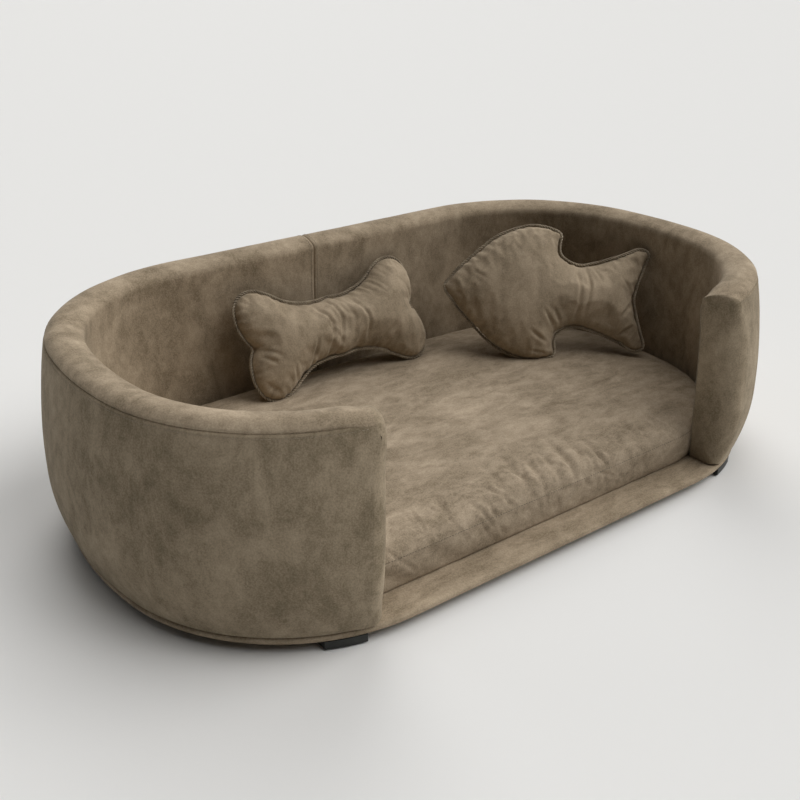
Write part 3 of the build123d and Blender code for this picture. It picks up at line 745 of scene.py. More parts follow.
def end_rounding(inset, height, on_right):
    """Radius of the wall's end: wide on the outer side, less on the top, tight inside."""
    sizes = right_rounding if on_right else left_rounding
    outer = (1 - smooth((inset - 0.018) / 0.012)) * (1 - 0.75 * smooth((height - 0.20) / 0.06))
    outer = outer * (0.55 + 0.45 * smooth((height - base_top) / 0.03))
    past_crest = smooth((inset - top_crest_inset) / sizes["top_reach"])
    top = smooth((height - (bed_height - 0.036)) / 0.020) * (1 - past_crest)
    wide = np.maximum(sizes["side_radius"] * outer, sizes["top_radius"] * top)
    return tight_radius + wide


def outward_of(points):
    """Unit normals of a grid of points."""
    normal = np.cross(np.gradient(points, axis=1), np.gradient(points, axis=0))
    return normal / np.maximum(np.linalg.norm(normal, axis=-1, keepdims=True), 1e-12)


def plan_normal(point):
    """The outward direction of the wall's side next to a place."""
    length = np.linspace(0, plan_length, 2000)
    places, normals = plan_at(length)
    nearest = np.argmin(np.linalg.norm(places - point[:2], axis=1))
    return np.append(normals[nearest], 0.0)


def wall_cover(name, layer, on_right, seed):
    """One cover of the wall, from its end to the seam at the back."""
    level, velvet_kind, rows, shares, width = layer
    start, stop = (0.0, back_seam_run) if on_right else (back_seam_run, wall_length)
    end_section = (right_end_rows if on_right else left_end_rows)[level]
    runs = np.linspace(start, stop, int((stop - start) / grid_step))
    near_seam = np.array(seam_rows)
    seam_at = stop if on_right else start
    extra = seam_at - near_seam if on_right else seam_at + near_seam
    runs = np.unique(np.concatenate([runs[np.abs(runs - seam_at) > seam_rows[-1] * 1.2], extra]))
    to_end = np.minimum(runs, wall_length - runs)
    squared = (1 - smooth((to_end - 0.002) / end_blend))[None, :, None]
    section = rows[:, None] * (1 - squared) + end_section[:, None] * squared
    insets, heights = section[..., 0], section[..., 1]
    radius = end_rounding(insets, heights, on_right)
    from_right = 1 - smooth(runs / end_reach)
    from_left = 1 - smooth((wall_length - runs) / end_reach)
    points = wall_point(runs + radius * (from_right - from_left), insets, heights)
    normal = outward_of(points)
    middle = len(runs) // 2
    if normal[3, middle] @ plan_normal(points[3, middle]) < 0:
        normal = -normal
    edge = (np.minimum(shares, 1 - shares) * width)[:, None]
    to_back_seam = np.abs(runs - seam_at)[None, :]
    free = smooth((to_end - 0.012) / 0.03)[None, :]
    waves = noise(points, 17.0, seed, 3) * wave_height
    ripple = np.sin(runs[None, :] * ripple_rate + 3.5 * noise(points, 9.0, seed + 5, 2))
    pucker = ripple * pucker_height * np.exp(-edge / pucker_reach)
    pucker = pucker * (0.5 + 0.5 * noise(points, 20.0, seed + 9, 2))
    calm = smooth(np.minimum(edge, to_back_seam) / 0.004)
    edge_roll = np.clip(1 - edge / seam_roll_width, 0, 1) ** 2 * free
    back_roll = np.clip(1 - to_back_seam / seam_roll_width, 0, 1) ** 2
    push = (waves + pucker) * calm * free - seam_roll * np.maximum(edge_roll, back_roll)
    points = points + normal * push[..., None]
    piece = mesh_object(name, points, grid_faces(len(rows), len(runs)), velvet_kind)
    return thicken(piece, cloth_thickness)


right_foams = ["wall_foam_front_right", "wall_foam_back_right", "wall_foam_back"]
left_foams = ["wall_foam_front_left", "wall_foam_back_left"]
for name, layer, on_right, seed, nodes in (
    ("outer_velvet_right", side_layer, True, 1.0, ["right_outer_cover"]),
    ("outer_velvet_left", side_layer, False, 2.0, ["left_outer_cover"]),
    ("inner_velvet_right", top_layer, True, 3.0, ["right_inner_cover", *right_foams]),
    ("inner_velvet_left", top_layer, False, 4.0, ["left_inner_cover", *left_foams]),
):
    settle(wall_cover(name, layer, on_right, seed), body_frame, nodes)

# %% [markdown]
# # Rounded ends of the wall
# Each end is a pad of foam in its own cover. Its face is a sheet of triangles cut to the
# section's outline. The distance of each point to the edge says how far it stands back: a
# quarter circle next to the edge, whose radius changes round the outline, then a slight
# swell, because foam pushes out where no seam holds it.

# %% end covers
end_swell = 0.0010
rounding_rows = (0.0006, 0.0014, 0.0026, 0.0042, 0.0062, 0.0086, 0.0114, 0.0145, 0.0180)
end_step = 0.0042
end_edge_step = 0.0026


def end_cover(name, on_right):
    """The cover of one end of the wall."""
    foot = spread([[wall_thickness, base_top], [foot_inset, base_top]], 0.003)[1:-1]
    side, top = right_end_rows if on_right else left_end_rows
    outline = even_ring(np.concatenate([side, top[1:], foot]), end_edge_step)
    flat, faces = cut_sheet(outline, end_step, rounding_rows)
    far, round_edge, _ = edge_distance(flat, outline)
    far[:len(outline)] = 0
    closed = np.concatenate([outline, outline[:1]])
    radii = end_rounding(closed[:, 0], closed[:, 1], on_right)
    radius = np.interp(round_edge, path_length(closed), radii)
    inside = np.clip(radius - far, 0, None)
    back = radius - np.sqrt(radius ** 2 - inside ** 2)
    run = back - end_swell * smooth((far - radius) / 0.012)
    unevenness = noise(np.column_stack([flat, far * 0]), 45.0, 5.0 + on_right, 2)
    run += unevenness * 0.0004 * smooth(far / 0.006)
    run = run if on_right else wall_length - run
    points = wall_point(run, flat[:, 0], flat[:, 1])
    # The end's face wears the darker velvet: partly painted shade for a face turned from the lamps.
    piece = mesh_object(name, points, faces, painted_shade_velvet)
    face = max(piece.data.polygons, key=lambda polygon: polygon.area)
    if face.normal.x * (-1 if on_right else 1) < 0:
        piece.data.flip_normals()
    return thicken(piece, cloth_thickness)


for name, on_right, nodes in (
    ("end_velvet_right", True, ["right_end_cover", "right_end_pad"]),
    ("end_velvet_left", False, ["left_end_cover", "left_end_pad"]),
):
    settle(end_cover(name, on_right), body_frame, nodes)

# %% [markdown]
# # The covered base
# The base is a thin board wrapped in the same velvet, so its edge is softly rounded and the
# cloth turns under it. A profile carried round the oval makes it; its middle closes by scaling
# the last ring to a point, because an inset deeper than the corner radius would cross itself.

# %% base cover
base_inset = half_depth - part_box("base_cover")[1].y
foot_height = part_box("base_cover")[0].z
edge_round = 0.0036
turned_under = 0.040
ring_step = 0.0075
base_thickness = 0.0010
center_shares = (0.0, 0.08, 0.2, 0.36, 0.52, 0.68, 0.84)
top_insets = (0.09, 0.075, 0.06, 0.045, 0.032, 0.022)


def base_profile():
    """Insets and heights of the base's skin, from its top to the turned-under edge."""
    turns = np.linspace(0, quarter, 6)
    from_edge = edge_round * (1 - np.array([np.sin(turns), np.cos(turns)]))
    top = [(inset, base_top) for inset in top_insets]
    upper = np.stack([base_inset + from_edge[0], base_top - from_edge[1]], -1)
    lower = np.stack([base_inset + from_edge[1], foot_height + from_edge[0]], -1)
    under = [(inset, foot_height) for inset in (0.022, 0.034, base_inset + turned_under)]
    return np.concatenate([top, upper, lower, under])


def oval_skin(profile, columns):
    """Rings round the oval for a profile, closed to a point at its start."""
    point, normal = plan_at(np.arange(columns) * plan_length / columns)
    rings = [(share, *profile[0]) for share in center_shares]
    rings += [(1.0, inset, height) for inset, height in profile]
    return np.array([
        np.column_stack([(point - normal * inset) * share, np.full(columns, height)])
        for share, inset, height in rings
    ])


columns = int(plan_length / ring_step)
skin = oval_skin(base_profile(), columns)
wave = noise(skin, 26.0, 3.0, 2) * 0.00025
skin[..., 2] += wave * (skin[..., 2] > base_top - 0.0005)
skin_faces = grid_faces(len(skin), columns, closed=True)
base = mesh_object("base_velvet_cover", skin, skin_faces, base_velvet)
face_outwards(base)
if max(base.data.polygons, key=lambda polygon: polygon.area).normal.z < 0:
    base.data.flip_normals()
settle(thicken(base, base_thickness), body_frame, ["base_cover"])

# %% [markdown]
# # Lining under the base
# A thin black lining closes the underside. It is stapled along its edge and sags a little
# between, so it is one sheet, flat at its rim and some 0.7 mm lower in the middle.

# %% dust cover
lining_inset = base_inset + turned_under
lining_low, lining_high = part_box("dust_cover")
lining_thickness = 0.0006
lining_sag = 0.0007
lining_profile = [(0.09, 0), (0.075, 0), (0.062, 0), (lining_inset + 0.0005, 0)]
skin = oval_skin(lining_profile, columns // 2)
across = np.linalg.norm(skin[..., :2] / np.array([half_length, half_depth]), axis=-1)
sag = lining_sag * (1 - smooth(across / 0.8)) + noise(skin, 30.0, 8.0, 2) * 0.0001
skin[..., 2] = lining_low.z + 0.0002 - np.clip(sag, 0, 0.0012)
skin_faces = grid_faces(len(skin), columns // 2, closed=True)
under = mesh_object("lining_sheet", skin, skin_faces, lining)
face_outwards(under)
if under.data.polygons[len(under.data.polygons) // 2].normal.z > 0:
    under.data.flip_normals()
settle(thicken(under, lining_thickness), body_frame, ["dust_cover"])
flat = (lining_high.x - lining_low.x, lining_high.y - lining_low.y)

# %% [markdown]
# # Cloth, stuffed by air
# The two sheets, joined at the edge, are blown up by Blender's cloth with its pressure. The
# seam is pinned at its real outline and the cloth is given a little extra width, so it
# crumples at the seam as a sewn pillow does. How far a point may move is capped, then the
# result becomes the mesh and the modifier goes.

# %% run cloth on a cushion
def vertex_array(mesh, kind="co"):
    """The vertices of a mesh, or their normals, as an array."""
    flat = np.empty(len(mesh.vertices) * 3)
    mesh.vertices.foreach_get(kind, flat)
    return flat.reshape(-1, 3)


def set_vertices(piece, points):
    """Writes an array back to a piece's vertices."""
    piece.data.vertices.foreach_set("co", np.asarray(points, float).ravel())
    piece.data.update()


def inflate(piece, pinned, pressure, slack, bending, frames, cap):
    """Blows up a closed mesh by cloth simulation and keeps the result in its mesh."""
    group = piece.vertex_groups.new(name="seam")
    group.add(pinned, 1.0, "REPLACE")
    before = vertex_array(piece.data)
    cloth = piece.modifiers.new("cloth", "CLOTH")
    cloth_settings = {
        "quality": 5, "mass": 0.2, "air_damping": 4, "bending_stiffness": bending,
        "tension_stiffness": 15, "compression_stiffness": 15, "shear_stiffness": 6,
        "use_pressure": True, "uniform_pressure_force": pressure,
        "vertex_group_mass": "seam", "shrink_min": -slack,
    }
    for key, value in cloth_settings.items():
        setattr(cloth.settings, key, value)
    cloth.settings.effector_weights.gravity = 0
    cloth.collision_settings.use_collision = False
    cloth.collision_settings.use_self_collision = False
    cloth.point_cache.frame_start = 1
    cloth.point_cache.frame_end = frames
    for step in range(1, frames + 1):
        bpy.context.scene.frame_set(step)
    graph = bpy.context.evaluated_depsgraph_get()
    move = vertex_array(piece.evaluated_get(graph).data) - before
    size = np.linalg.norm(move, axis=1, keepdims=True)
    move = move * np.minimum(1, cap / np.maximum(size, 1e-9))
    piece.modifiers.clear()
    piece.vertex_groups.clear()
    set_vertices(piece, before + move)
    bpy.context.scene.frame_set(1)
    moved, kept = round(float(size.max()) * 1000, 1), round(cap * 1000, 1)
    print(piece.name, "moved up to", moved, "mm, kept", kept)


def subdivide(piece):
    """One round of subdivision, kept in the mesh."""
    finer = piece.modifiers.new("finer", "SUBSURF")
    finer.levels = finer.render_levels = 1
    return apply_modifiers(piece)


def fold_push(place, line, width, depth):
    """Depth of one fold at flat places: a groove along a line with a ridge on each side."""
    line = spread(line, 0.002)
    far = np.full(len(place), 9.0)
    share = np.zeros(len(place))
    for index, point in enumerate(line):
        distance = np.linalg.norm(place - point, axis=1)
        closer = distance < far
        far = np.where(closer, distance, far)
        share = np.where(closer, index / (len(line) - 1), share)
    taper = np.clip(np.sin(np.pi * (0.04 + 0.92 * share)), 0, 1) ** 0.7
    groove = -np.exp(-(far / width) ** 2)
    ridge = 0.42 * np.exp(-((far - 2.1 * width) / (1.3 * width)) ** 2)
    return depth * taper * (groove + ridge)


print("cloth tools ready")

# %% [markdown]
# # The two pillows
# The bone and the fish are cut from outlines of arcs. Each is worked flat, where its folds are
# easy to place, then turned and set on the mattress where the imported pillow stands. The deep
# folds across the bone's waist and at the root of the fish's tail are drawn one by one; short
# puckers along the seam come from a wave that fades inwards.

# %% pillow outlines and folds
bone_length, bone_height, bone_half = 0.298, 0.158, 0.036
fish_length, fish_height, fish_half = 0.323, 0.204, 0.038
bone_quarter = (
    (0, 0.55), (0.39, 0.61), (0.53, 0.74), (0.65, 0.9), (0.75, 0.985),
    (0.86, 0.99), (0.96, 0.89), (1, 0.72), (0.915, 0),
)
fish_upper = (
    (-1, 0), (-0.84, 0.31), (-0.65, 0.6), (-0.42, 0.88), (-0.18, 1), (-0.03, 0.99),
    (0.12, 0.91), (0.09, 0.76), (0.1, 0.6), (0.21, 0.485), (0.34, 0.455), (0.57, 0.56),
    (0.8, 0.71), (0.9, 0.77), (0.985, 0.73), (0.9, 0.35), (0.84, 0),
)
bone_folds = (
    (((-0.0343, 0.0382), (-0.0176, 0.0039), (-0.0305, -0.0435)), 0.0034, 0.0030),
    (((-0.0085, 0.0371), (0.0012, 0.0069), (-0.0154, -0.0423)), 0.0030, 0.0026),
    (((0.0298, 0.0359), (0.0406, -0.0003), (0.0377, -0.0330)), 0.0032, 0.0026),
    (((0.0120, 0.0390), (0.0200, 0.0050), (0.0110, -0.0380)), 0.0036, 0.0012),
    (((-0.0518, -0.0101), (-0.0595, -0.0433)), 0.0034, 0.0026),
    (((0.0916, -0.0179), (0.0539, -0.0476)), 0.0036, 0.0024),
    (((-0.1369, -0.0151), (-0.1227, -0.0286)), 0.0030, 0.0020),
    (((-0.1330, -0.0050), (-0.1150, -0.0190)), 0.0028, 0.0014),
    (((-0.0967, -0.0406), (-0.0957, -0.0582)), 0.0030, 0.0024),
    (((0.0700, 0.0330), (0.0560, 0.0520)), 0.0032, 0.0018),
    (((0.0850, 0.0270), (0.0720, 0.0560)), 0.0034, 0.0014),
    (((0.1270, 0.0300), (0.1360, 0.0080)), 0.0030, 0.0016),
)
fish_folds = (
    (((0.0413, 0.0391), (0.0460, 0.0088), (0.0438, -0.0374)), 0.0034, 0.0030),
    (((0.0567, 0.0428), (0.0612, 0.0150), (0.0565, -0.0340)), 0.0032, 0.0026),
    (((0.0698, 0.0438), (0.0789, 0.0240)), 0.0030, 0.0018),
    (((-0.0087, -0.0285), (0.0110, -0.0526)), 0.0034, 0.0026),
    (((0.0066, -0.0247), (0.0210, -0.0467)), 0.0034, 0.0026),
    (((-0.0273, -0.0604), (-0.0003, -0.0763)), 0.0034, 0.0028),
    (((-0.0253, -0.0908), (0.0085, -0.0935)), 0.0026, 0.0018),
    (((0.1332, -0.0074), (0.1138, -0.0299)), 0.0034, 0.0026),
    (((0.1381, -0.0409), (0.1156, -0.0579)), 0.0034, 0.0022),
    (((0.1300, 0.0120), (0.1120, 0.0300)), 0.0032, 0.0016),
    (((-0.1200, 0.0260), (-0.1020, 0.0140)), 0.0034, 0.0012),
)


def mirrored_ring(shares, length, height, both_ways):
    """The full outline of a pillow from the part that is drawn."""
    upper = [(x * length / 2, y * height / 2) for x, y in shares]
    if both_ways:
        right = upper + [(x, -y) for x, y in reversed(upper[:-1])]
        return right + [(-x, y) for x, y in reversed(right[1:-1])]
    return upper + [(x, -y) for x, y in reversed(upper[1:-1])]


def arcs_ring(points, step):
    """Even points on the arcs through every two steps of an outline."""
    triples = zip(points[::2], points[1::2], points[2::2] + points[:1])
    return even_ring(np.concatenate([arc_through(*triple, 24) for triple in triples]), step)


def pillow_place(center, yaw, lean, roll):
    """The matrix that turns a flat pillow and sets its middle in place."""
    yaw, lean, roll = map(math.radians, (yaw, lean, roll))
    along = Vector((math.cos(yaw), math.sin(yaw), 0))
    front = Vector((math.sin(yaw), -math.cos(yaw), 0))
    up = Vector((0, 0, 1))
    rise = up * math.cos(lean) - front * math.sin(lean)
    facing = front * math.cos(lean) + up * math.sin(lean)
    across = along * math.cos(roll) + rise * math.sin(roll)
    upward = facing.cross(across)
    turn = Matrix((across, upward, facing)).transposed().to_4x4()
    return Matrix.Translation(center) @ turn


print("bone", bone_length, "by", bone_height, "- fish", fish_length, "by", fish_height)

# %% [markdown]
# # Sewing and placing a pillow
# The flat pillow gets its height from the soap-film function, is blown up by cloth, made
# finer, folded, and only then moved into the room. Its object stays at the origin, so that
# patterns and poses keep to the frame's axes.

# %% pillows
pillow_step = 0.0046
fold_narrowing, fold_easing = 0.74, 0.95
pucker_rate, pucker_depth, pucker_fade = 430, 0.0009, 0.012
lump_depth = 0.0007
pillow_foot = 0.0809
bone_lean, fish_lean, fish_yaw = 28, 25.5, -32


def pillow(name, ring, half, folds, place, seed):
    """A stuffed pillow with a pinned seam, folds on its front and puckers along its edge."""
    flat, faces = cut_sheet(ring, pillow_step)
    rim = len(ring)
    height = blown_height(flat, faces, rim) * half * 0.93
    lift = len(flat) - rim
    front = np.column_stack([flat, height])
    back = np.column_stack([flat[rim:], -height[rim:]])
    mirrored = [tuple(i if i < rim else i + lift for i in reversed(face)) for face in faces]
    piece = mesh_object(name, np.concatenate([front, back]), faces + mirrored, pillow_velvet)
    pinned = list(range(rim))
    inflate(piece, pinned, pressure=5, slack=0.035, bending=0.8, frames=18, cap=0.006)
    subdivide(piece)
    points = vertex_array(piece.data)
    normals = vertex_array(piece.data, "normal")
    far, run, _ = edge_distance(points[:, :2], ring)
    wave = np.sin(run * pucker_rate + 2.6 * noise(points, 30.0, seed, 2))
    wave = wave * (0.5 + 0.5 * noise(points, 24.0, seed + 3, 2))
    push = wave * pucker_depth * np.exp(-far / pucker_fade) * smooth(far / 0.003)
    push += noise(points, 34.0, seed + 6, 3) * lump_depth * smooth(far / 0.012)
    on_front = smooth((points[:, 2] + 0.002) / 0.008)
    off_seam = smooth(far / 0.004)
    for line, width, depth in folds:
        fold = fold_push(points[:, :2], line, width * fold_narrowing, depth * fold_easing)
        push += fold * on_front * off_seam
    points = points + normals * push[:, None]
    points[:, 2] = np.clip(points[:, 2], -half * 1.05, half * 1.12)
    set_vertices(piece, points)
    piece.data.transform(place)
    piece.data.update()
    return piece


def rise_and_reach(lean, height):
    """How far the middle of a leaning pillow stands up and back from its foot."""
    return height / 2 * math.cos(math.radians(lean)), height / 2 * math.sin(math.radians(lean))


bone_low, bone_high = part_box("bone_pillow_edge_flange")
bone_rise, bone_reach = rise_and_reach(bone_lean, bone_height)
bone_center = (
    (bone_low.x + bone_high.x) / 2,
    half_depth - wall_thickness - 0.019 - bone_reach,
    pillow_foot + 0.0055 + bone_rise,
)
fish_center = (
    half_length - wall_thickness - 0.0218 - rise_and_reach(fish_yaw, fish_length)[0],
    0.061,
    pillow_foot + 0.003 + rise_and_reach(fish_lean, fish_height)[0],
)
bone_place = pillow_place(bone_center, 0, bone_lean, 1)
fish_place = pillow_place(fish_center, fish_yaw, fish_lean, -6)
bone_ring = arcs_ring(mirrored_ring(bone_quarter, bone_length, bone_height, True), pillow_step)
fish_ring = arcs_ring(mirrored_ring(fish_upper, fish_length, fish_height, False), pillow_step)
pillows = (
    ("bone_pillow", bone_ring, bone_half, bone_folds, bone_place, 11.0),
    ("fish_pillow", fish_ring, fish_half, fish_folds, fish_place, 17.0),
)
for body, ring, half, folds, place, seed in pillows:
    piece = pillow(f"{body}_cushion", ring, half, folds, place, seed)
    stuffed = [f"{body}_front_cover", f"{body}_back_cover", f"{body}_filling"]
    settle(piece, body, stuffed)

# %% [markdown]
# # Twisted trim, by Geometry Nodes
# A gimp cord of two strands hides each pillow's seam. Twisting two circles along a curve is one
# rule repeated hundreds of times, which is Geometry Nodes' work: the curve's tilt grows along
# its length, and a profile of two circles turns with it. A whole number of turns makes the
# ends meet.

# %% tree and helpers for Geometry Nodes
def start_tree(name, sizes):
    """A geometry tree that takes a path, named sizes and a material, as wrapped sockets."""
    tree = bpy.data.node_groups.new(name, "GeometryNodeTree")
    kinds = {"Path": "NodeSocketGeometry", **{size: "NodeSocketFloat" for size in sizes}}
    kinds["Material"] = "NodeSocketMaterial"
    for label, kind in kinds.items():
        tree.interface.new_socket(label, in_out="INPUT", socket_type=kind)
    tree.interface.new_socket("Mesh", in_out="OUTPUT", socket_type="NodeSocketGeometry")
    entry = tree.nodes.new("NodeGroupInput")
    return {label: Shade(tree, entry.outputs[label]) for label in kinds}


def finish_tree(given, geometry):
    """Makes instances real, shades them smooth, gives the material, and ends the tree."""
    real = geometry.node("GeometryNodeRealizeInstances", None, {0: geometry})
    shaded = real.node("GeometryNodeSetShadeSmooth", None, {0: real})
    inputs = {0: shaded, "Material": given["Material"]}
    painted = shaded.node("GeometryNodeSetMaterial", None, inputs)
    add_node(geometry.tree, "NodeGroupOutput", None, {0: painted})
    return geometry.tree


def grow(name, path_points, closed, tree, values):
    """Runs a tree on a path of points and keeps its result as a plain mesh."""
    count = len(path_points)
    edges = [(i, (i + 1) % count) for i in range(count if closed else count - 1)]
    mesh = bpy.data.meshes.new(name)
    mesh.from_pydata(np.asarray(path_points).tolist(), edges, [])
    piece = bpy.data.objects.new(name, mesh)
    bpy.context.scene.collection.objects.link(piece)
    modifier = piece.modifiers.new("made", "NODES")
    modifier.node_group = tree
    for item in tree.interface.items_tree:
        if item.in_out == "INPUT" and item.name in values:
            modifier[item.identifier] = values[item.name]
    return apply_modifiers(piece)


def twisted_cord_tree():
    """Two strands laid round each other along a path."""
    given = start_tree("twisted_cord", ("Strand Radius", "Turns", "Step"))
    path, radius = given["Path"], given["Strand Radius"]
    curve = path.node("GeometryNodeMeshToCurve", None, {0: path})
    inputs = {"Curve": curve, "Length": given["Step"]}
    even = path.node("GeometryNodeResampleCurve", {"mode": "LENGTH"}, inputs)
    along = path.node("GeometryNodeSplineParameter", output="Factor")
    inputs = {"Curve": even, "Tilt": along * (given["Turns"] * math.tau)}
    tilted = path.node("GeometryNodeSetCurveTilt", None, inputs)
    inputs = {"Resolution": 8, "Radius": radius}
    circle = path.node("GeometryNodeCurvePrimitiveCircle", None, inputs)
    both = add_node(path.tree, "GeometryNodeJoinGeometry")
    for sign in (-0.86, 0.86):
        offset = path.node("ShaderNodeCombineXYZ", None, {"X": radius * sign})
        inputs = {"Geometry": circle, "Translation": offset}
        moved = path.node("GeometryNodeTransform", None, inputs)
        link_or_set(path.tree, both.inputs[0], moved)
    inputs = {"Curve": tilted, "Profile Curve": both.outputs[0]}
    return finish_tree(given, path.node("GeometryNodeCurveToMesh", None, inputs))


cord_tree = twisted_cord_tree()
trim_strand = 0.00135
trim_pitch = 0.0090
trim_step = 0.003
print("trees:", [tree.name for tree in bpy.data.node_groups])

# %% trims on the pillows
def soften(ring, rounds):
    """Rounds the corners of a ring by averaging neighbours."""
    for _ in range(rounds):
        ring = 0.5 * ring + 0.25 * (np.roll(ring, 1, 0) + np.roll(ring, -1, 0))
    return ring


for body, ring, half, folds, place, seed in pillows:
    path = even_ring(soften(ring_outwards(ring, 0.0016), 3), trim_step)
    places = np.column_stack([path, np.zeros(len(path))])
    path = ring_outwards(path, (noise(places, 90.0, seed + 2, 2) * 0.0008)[:, None])
    path = np.column_stack([path, noise(places, 60.0, seed, 2) * 0.0011])
    world = [tuple(place @ Vector(point)) for point in path]
    turns = round(len(path) * trim_step / trim_pitch)
    values = {"Strand Radius": trim_strand, "Turns": float(turns), "Step": 0.0011}
    trim = grow(f"{body}_trim", world, True, cord_tree, {**values, "Material": pillow_trim})
    settle(trim, body, [f"{body}_edge_flange"])

# %% [markdown]
# # The mattress
# The mattress is a slab of foam in a loose velvet cover: a crowned top sheet, a boxing round
# its side and a seam between. The cover is fuller than the foam, so it ripples where the seam
# gathers it, most along the open front. The top is one net of triangles, the boxing rows of
# quads below it, and cloth loosens both before the ripples are pressed in.

# %% mattress shape
mattress_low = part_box("mattress_bottom_cover")[0].z
edge_drop = 0.0055
mattress_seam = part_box("mattress_boxing")[1].z + 0.00015 - edge_drop
mattress_inset = 0.0624
mattress_shift = 0.002
mattress_crown = 0.015
edge_radius = 0.014
seam_draw = 0.0015
foot_draw = 0.002
mattress_step = 0.0068
boxing_rows = 8


def mattress_ring(inset, step):
    """The mattress's outline at an inset, as even points, from the middle of the back."""
    point, normal = plan_at(plan_length * np.linspace(0.5, 1.5, 1200, endpoint=False))
    ring = even_ring(point - normal * (mattress_inset + inset), step)
    return ring - np.array([0, mattress_shift])


def crown_height(far):
    """Rise of the mattress's top over its seam, at a distance in from its edge."""
    share = np.clip(far / (0.64 * (half_depth - mattress_inset)), 0, 1)
    edge = np.clip(1 - far / edge_radius, 0, 1)
    return mattress_crown * (1 - (1 - share) ** 2.6) ** 0.72 + edge_drop * np.sqrt(1 - edge ** 2)


ring = mattress_ring(seam_draw, mattress_step)
flat, faces = cut_sheet(ring, mattress_step)
rim = len(ring)
far, _, _ = edge_distance(flat, ring)
far[:rim] = 0
top = np.column_stack([flat, mattress_seam + crown_height(far)])
rows = [top]
outward = ring_outwards(ring, 1.0) - ring
for row in range(1, boxing_rows + 1):
    share = row / boxing_rows
    bulge = seam_draw * (1 - (1 - 2 * share) ** 2) - (foot_draw - seam_draw) * share
    level = mattress_seam + (mattress_low - mattress_seam) * share
    rows.append(np.column_stack([ring + outward * bulge, np.full(rim, level)]))
side_faces = []
for row in range(boxing_rows):
    above = 0 if row == 0 else len(top) + (row - 1) * rim
    below = len(top) + row * rim
    for i in range(rim):
        j = (i + 1) % rim
        side_faces.append((above + i, below + i, below + j, above + j))
last = len(top) + (boxing_rows - 1) * rim
under_faces = [tuple(last + i for i in reversed(face)) for face in faces]
under = np.column_stack([flat[rim:], np.full(len(flat) - rim, mattress_low)])
all_points = np.concatenate(rows + [under])
mattress = mesh_object("mattress_cushion", all_points, faces + side_faces + under_faces, bed_velvet)
face_outwards(mattress)
print("mattress", len(mattress.data.polygons), "faces before finishing")

# %% [markdown]
# # Loosening the cover and pressing in its ripples
# Cloth with a light pressure relaxes the cover between its pinned seams. A full cover then
# shows three sizes of fold: a few long ripples that run in over the top, many short slanted
# creases that cross the front edge at random, and a slow unevenness everywhere. The creases
# are drawn on the unrolled cover, with the run along the seam and the distance across it.

# %% mattress ripples
ripple_lines = (
    (((0.055, -0.244), (0.059, -0.209), (0.072, -0.159)), 0.0048, 0.0026),
    (((0.104, -0.242), (0.107, -0.222), (0.115, -0.191)), 0.0042, 0.0024),
    (((-0.058, -0.242), (-0.052, -0.212), (-0.041, -0.158)), 0.0052, 0.0018),
    (((-0.022, -0.242), (-0.017, -0.205), (-0.010, -0.166)), 0.0050, 0.0020),
    (((0.200, -0.238), (0.203, -0.220), (0.209, -0.190)), 0.0044, 0.0018),
    (((0.149, -0.240), (0.154, -0.222), (0.162, -0.200)), 0.0044, 0.0018),
    (((0.001, -0.243), (0.004, -0.222), (0.012, -0.181)), 0.0046, 0.0022),
    (((0.030, -0.243), (0.033, -0.218), (0.040, -0.172)), 0.0044, 0.0020),
    (((0.079, -0.243), (0.083, -0.220), (0.092, -0.180)), 0.0042, 0.0020),
    (((-0.146, -0.241), (-0.142, -0.215), (-0.137, -0.186)), 0.0050, 0.0014),
    (((-0.189, -0.238), (-0.189, -0.215), (-0.186, -0.190)), 0.0050, 0.0012),
    (((0.236, -0.236), (0.232, -0.214), (0.236, -0.180)), 0.0040, 0.0016),
)
loose_folds = 120
seam_step = 0.004
groove_width, groove_depth = 0.0016, 0.0007
swell_depth, grain_depth = 0.0014, 0.00035
gather_rate, gather_depth, gather_fade = 260, 0.00025, 0.022
zip_from_y, zip_half = 0.20, 0.23


def run_at(x):
    """The run along the mattress's seam at the front, for a place along the bed."""
    front = seam[:, 1] < -0.1
    return float(path_length(seam)[front][np.argmin(np.abs(seam[front, 0] - x))])


seam = mattress_ring(seam_draw, seam_step)
pinned = [v.index for v in mattress.data.vertices if v.co.z < mattress_low + 0.0005]
inflate(mattress, pinned, pressure=1.2, slack=0.006, bending=3.0, frames=12, cap=0.005)
subdivide(mattress)
points = vertex_array(mattress.data)
normals = vertex_array(mattress.data, "normal")
far, run, _ = edge_distance(points[:, :2], seam)
on_top = smooth((normals[:, 2] - 0.2) / 0.5)
above_foot = smooth((points[:, 2] - mattress_low - 0.004) / 0.010)
across = np.where(on_top > 0.5, far, np.minimum(points[:, 2] - mattress_seam, 0))
at_front = smooth((-points[:, 1] - 0.10) / 0.10)
near_zip = smooth((points[:, 1] - zip_from_y) / 0.02) * (np.abs(points[:, 0]) < zip_half)
push = noise(points, 11.0, 21.0, 3) * swell_depth + noise(points, 38.0, 27.0, 2) * grain_depth
push = push * on_top * smooth(far / 0.03)
gather = np.sin(run * gather_rate + 5.0 * noise(points, 16.0, 31.0, 3))
gather = gather * smooth(0.35 + 0.9 * noise(points, 11.0, 37.0, 2)) * gather_depth
push += gather * np.exp(-np.abs(across) / gather_fade) * above_foot * (0.3 + 0.7 * at_front)
for line, width, depth in ripple_lines:
    push += fold_push(points[:, :2], line, width, depth) * on_top
unrolled = np.column_stack([run, across])
reach = at_front > 0
chance = np.random.default_rng(23)
front_low, front_high = run_at(-0.235), run_at(0.285)
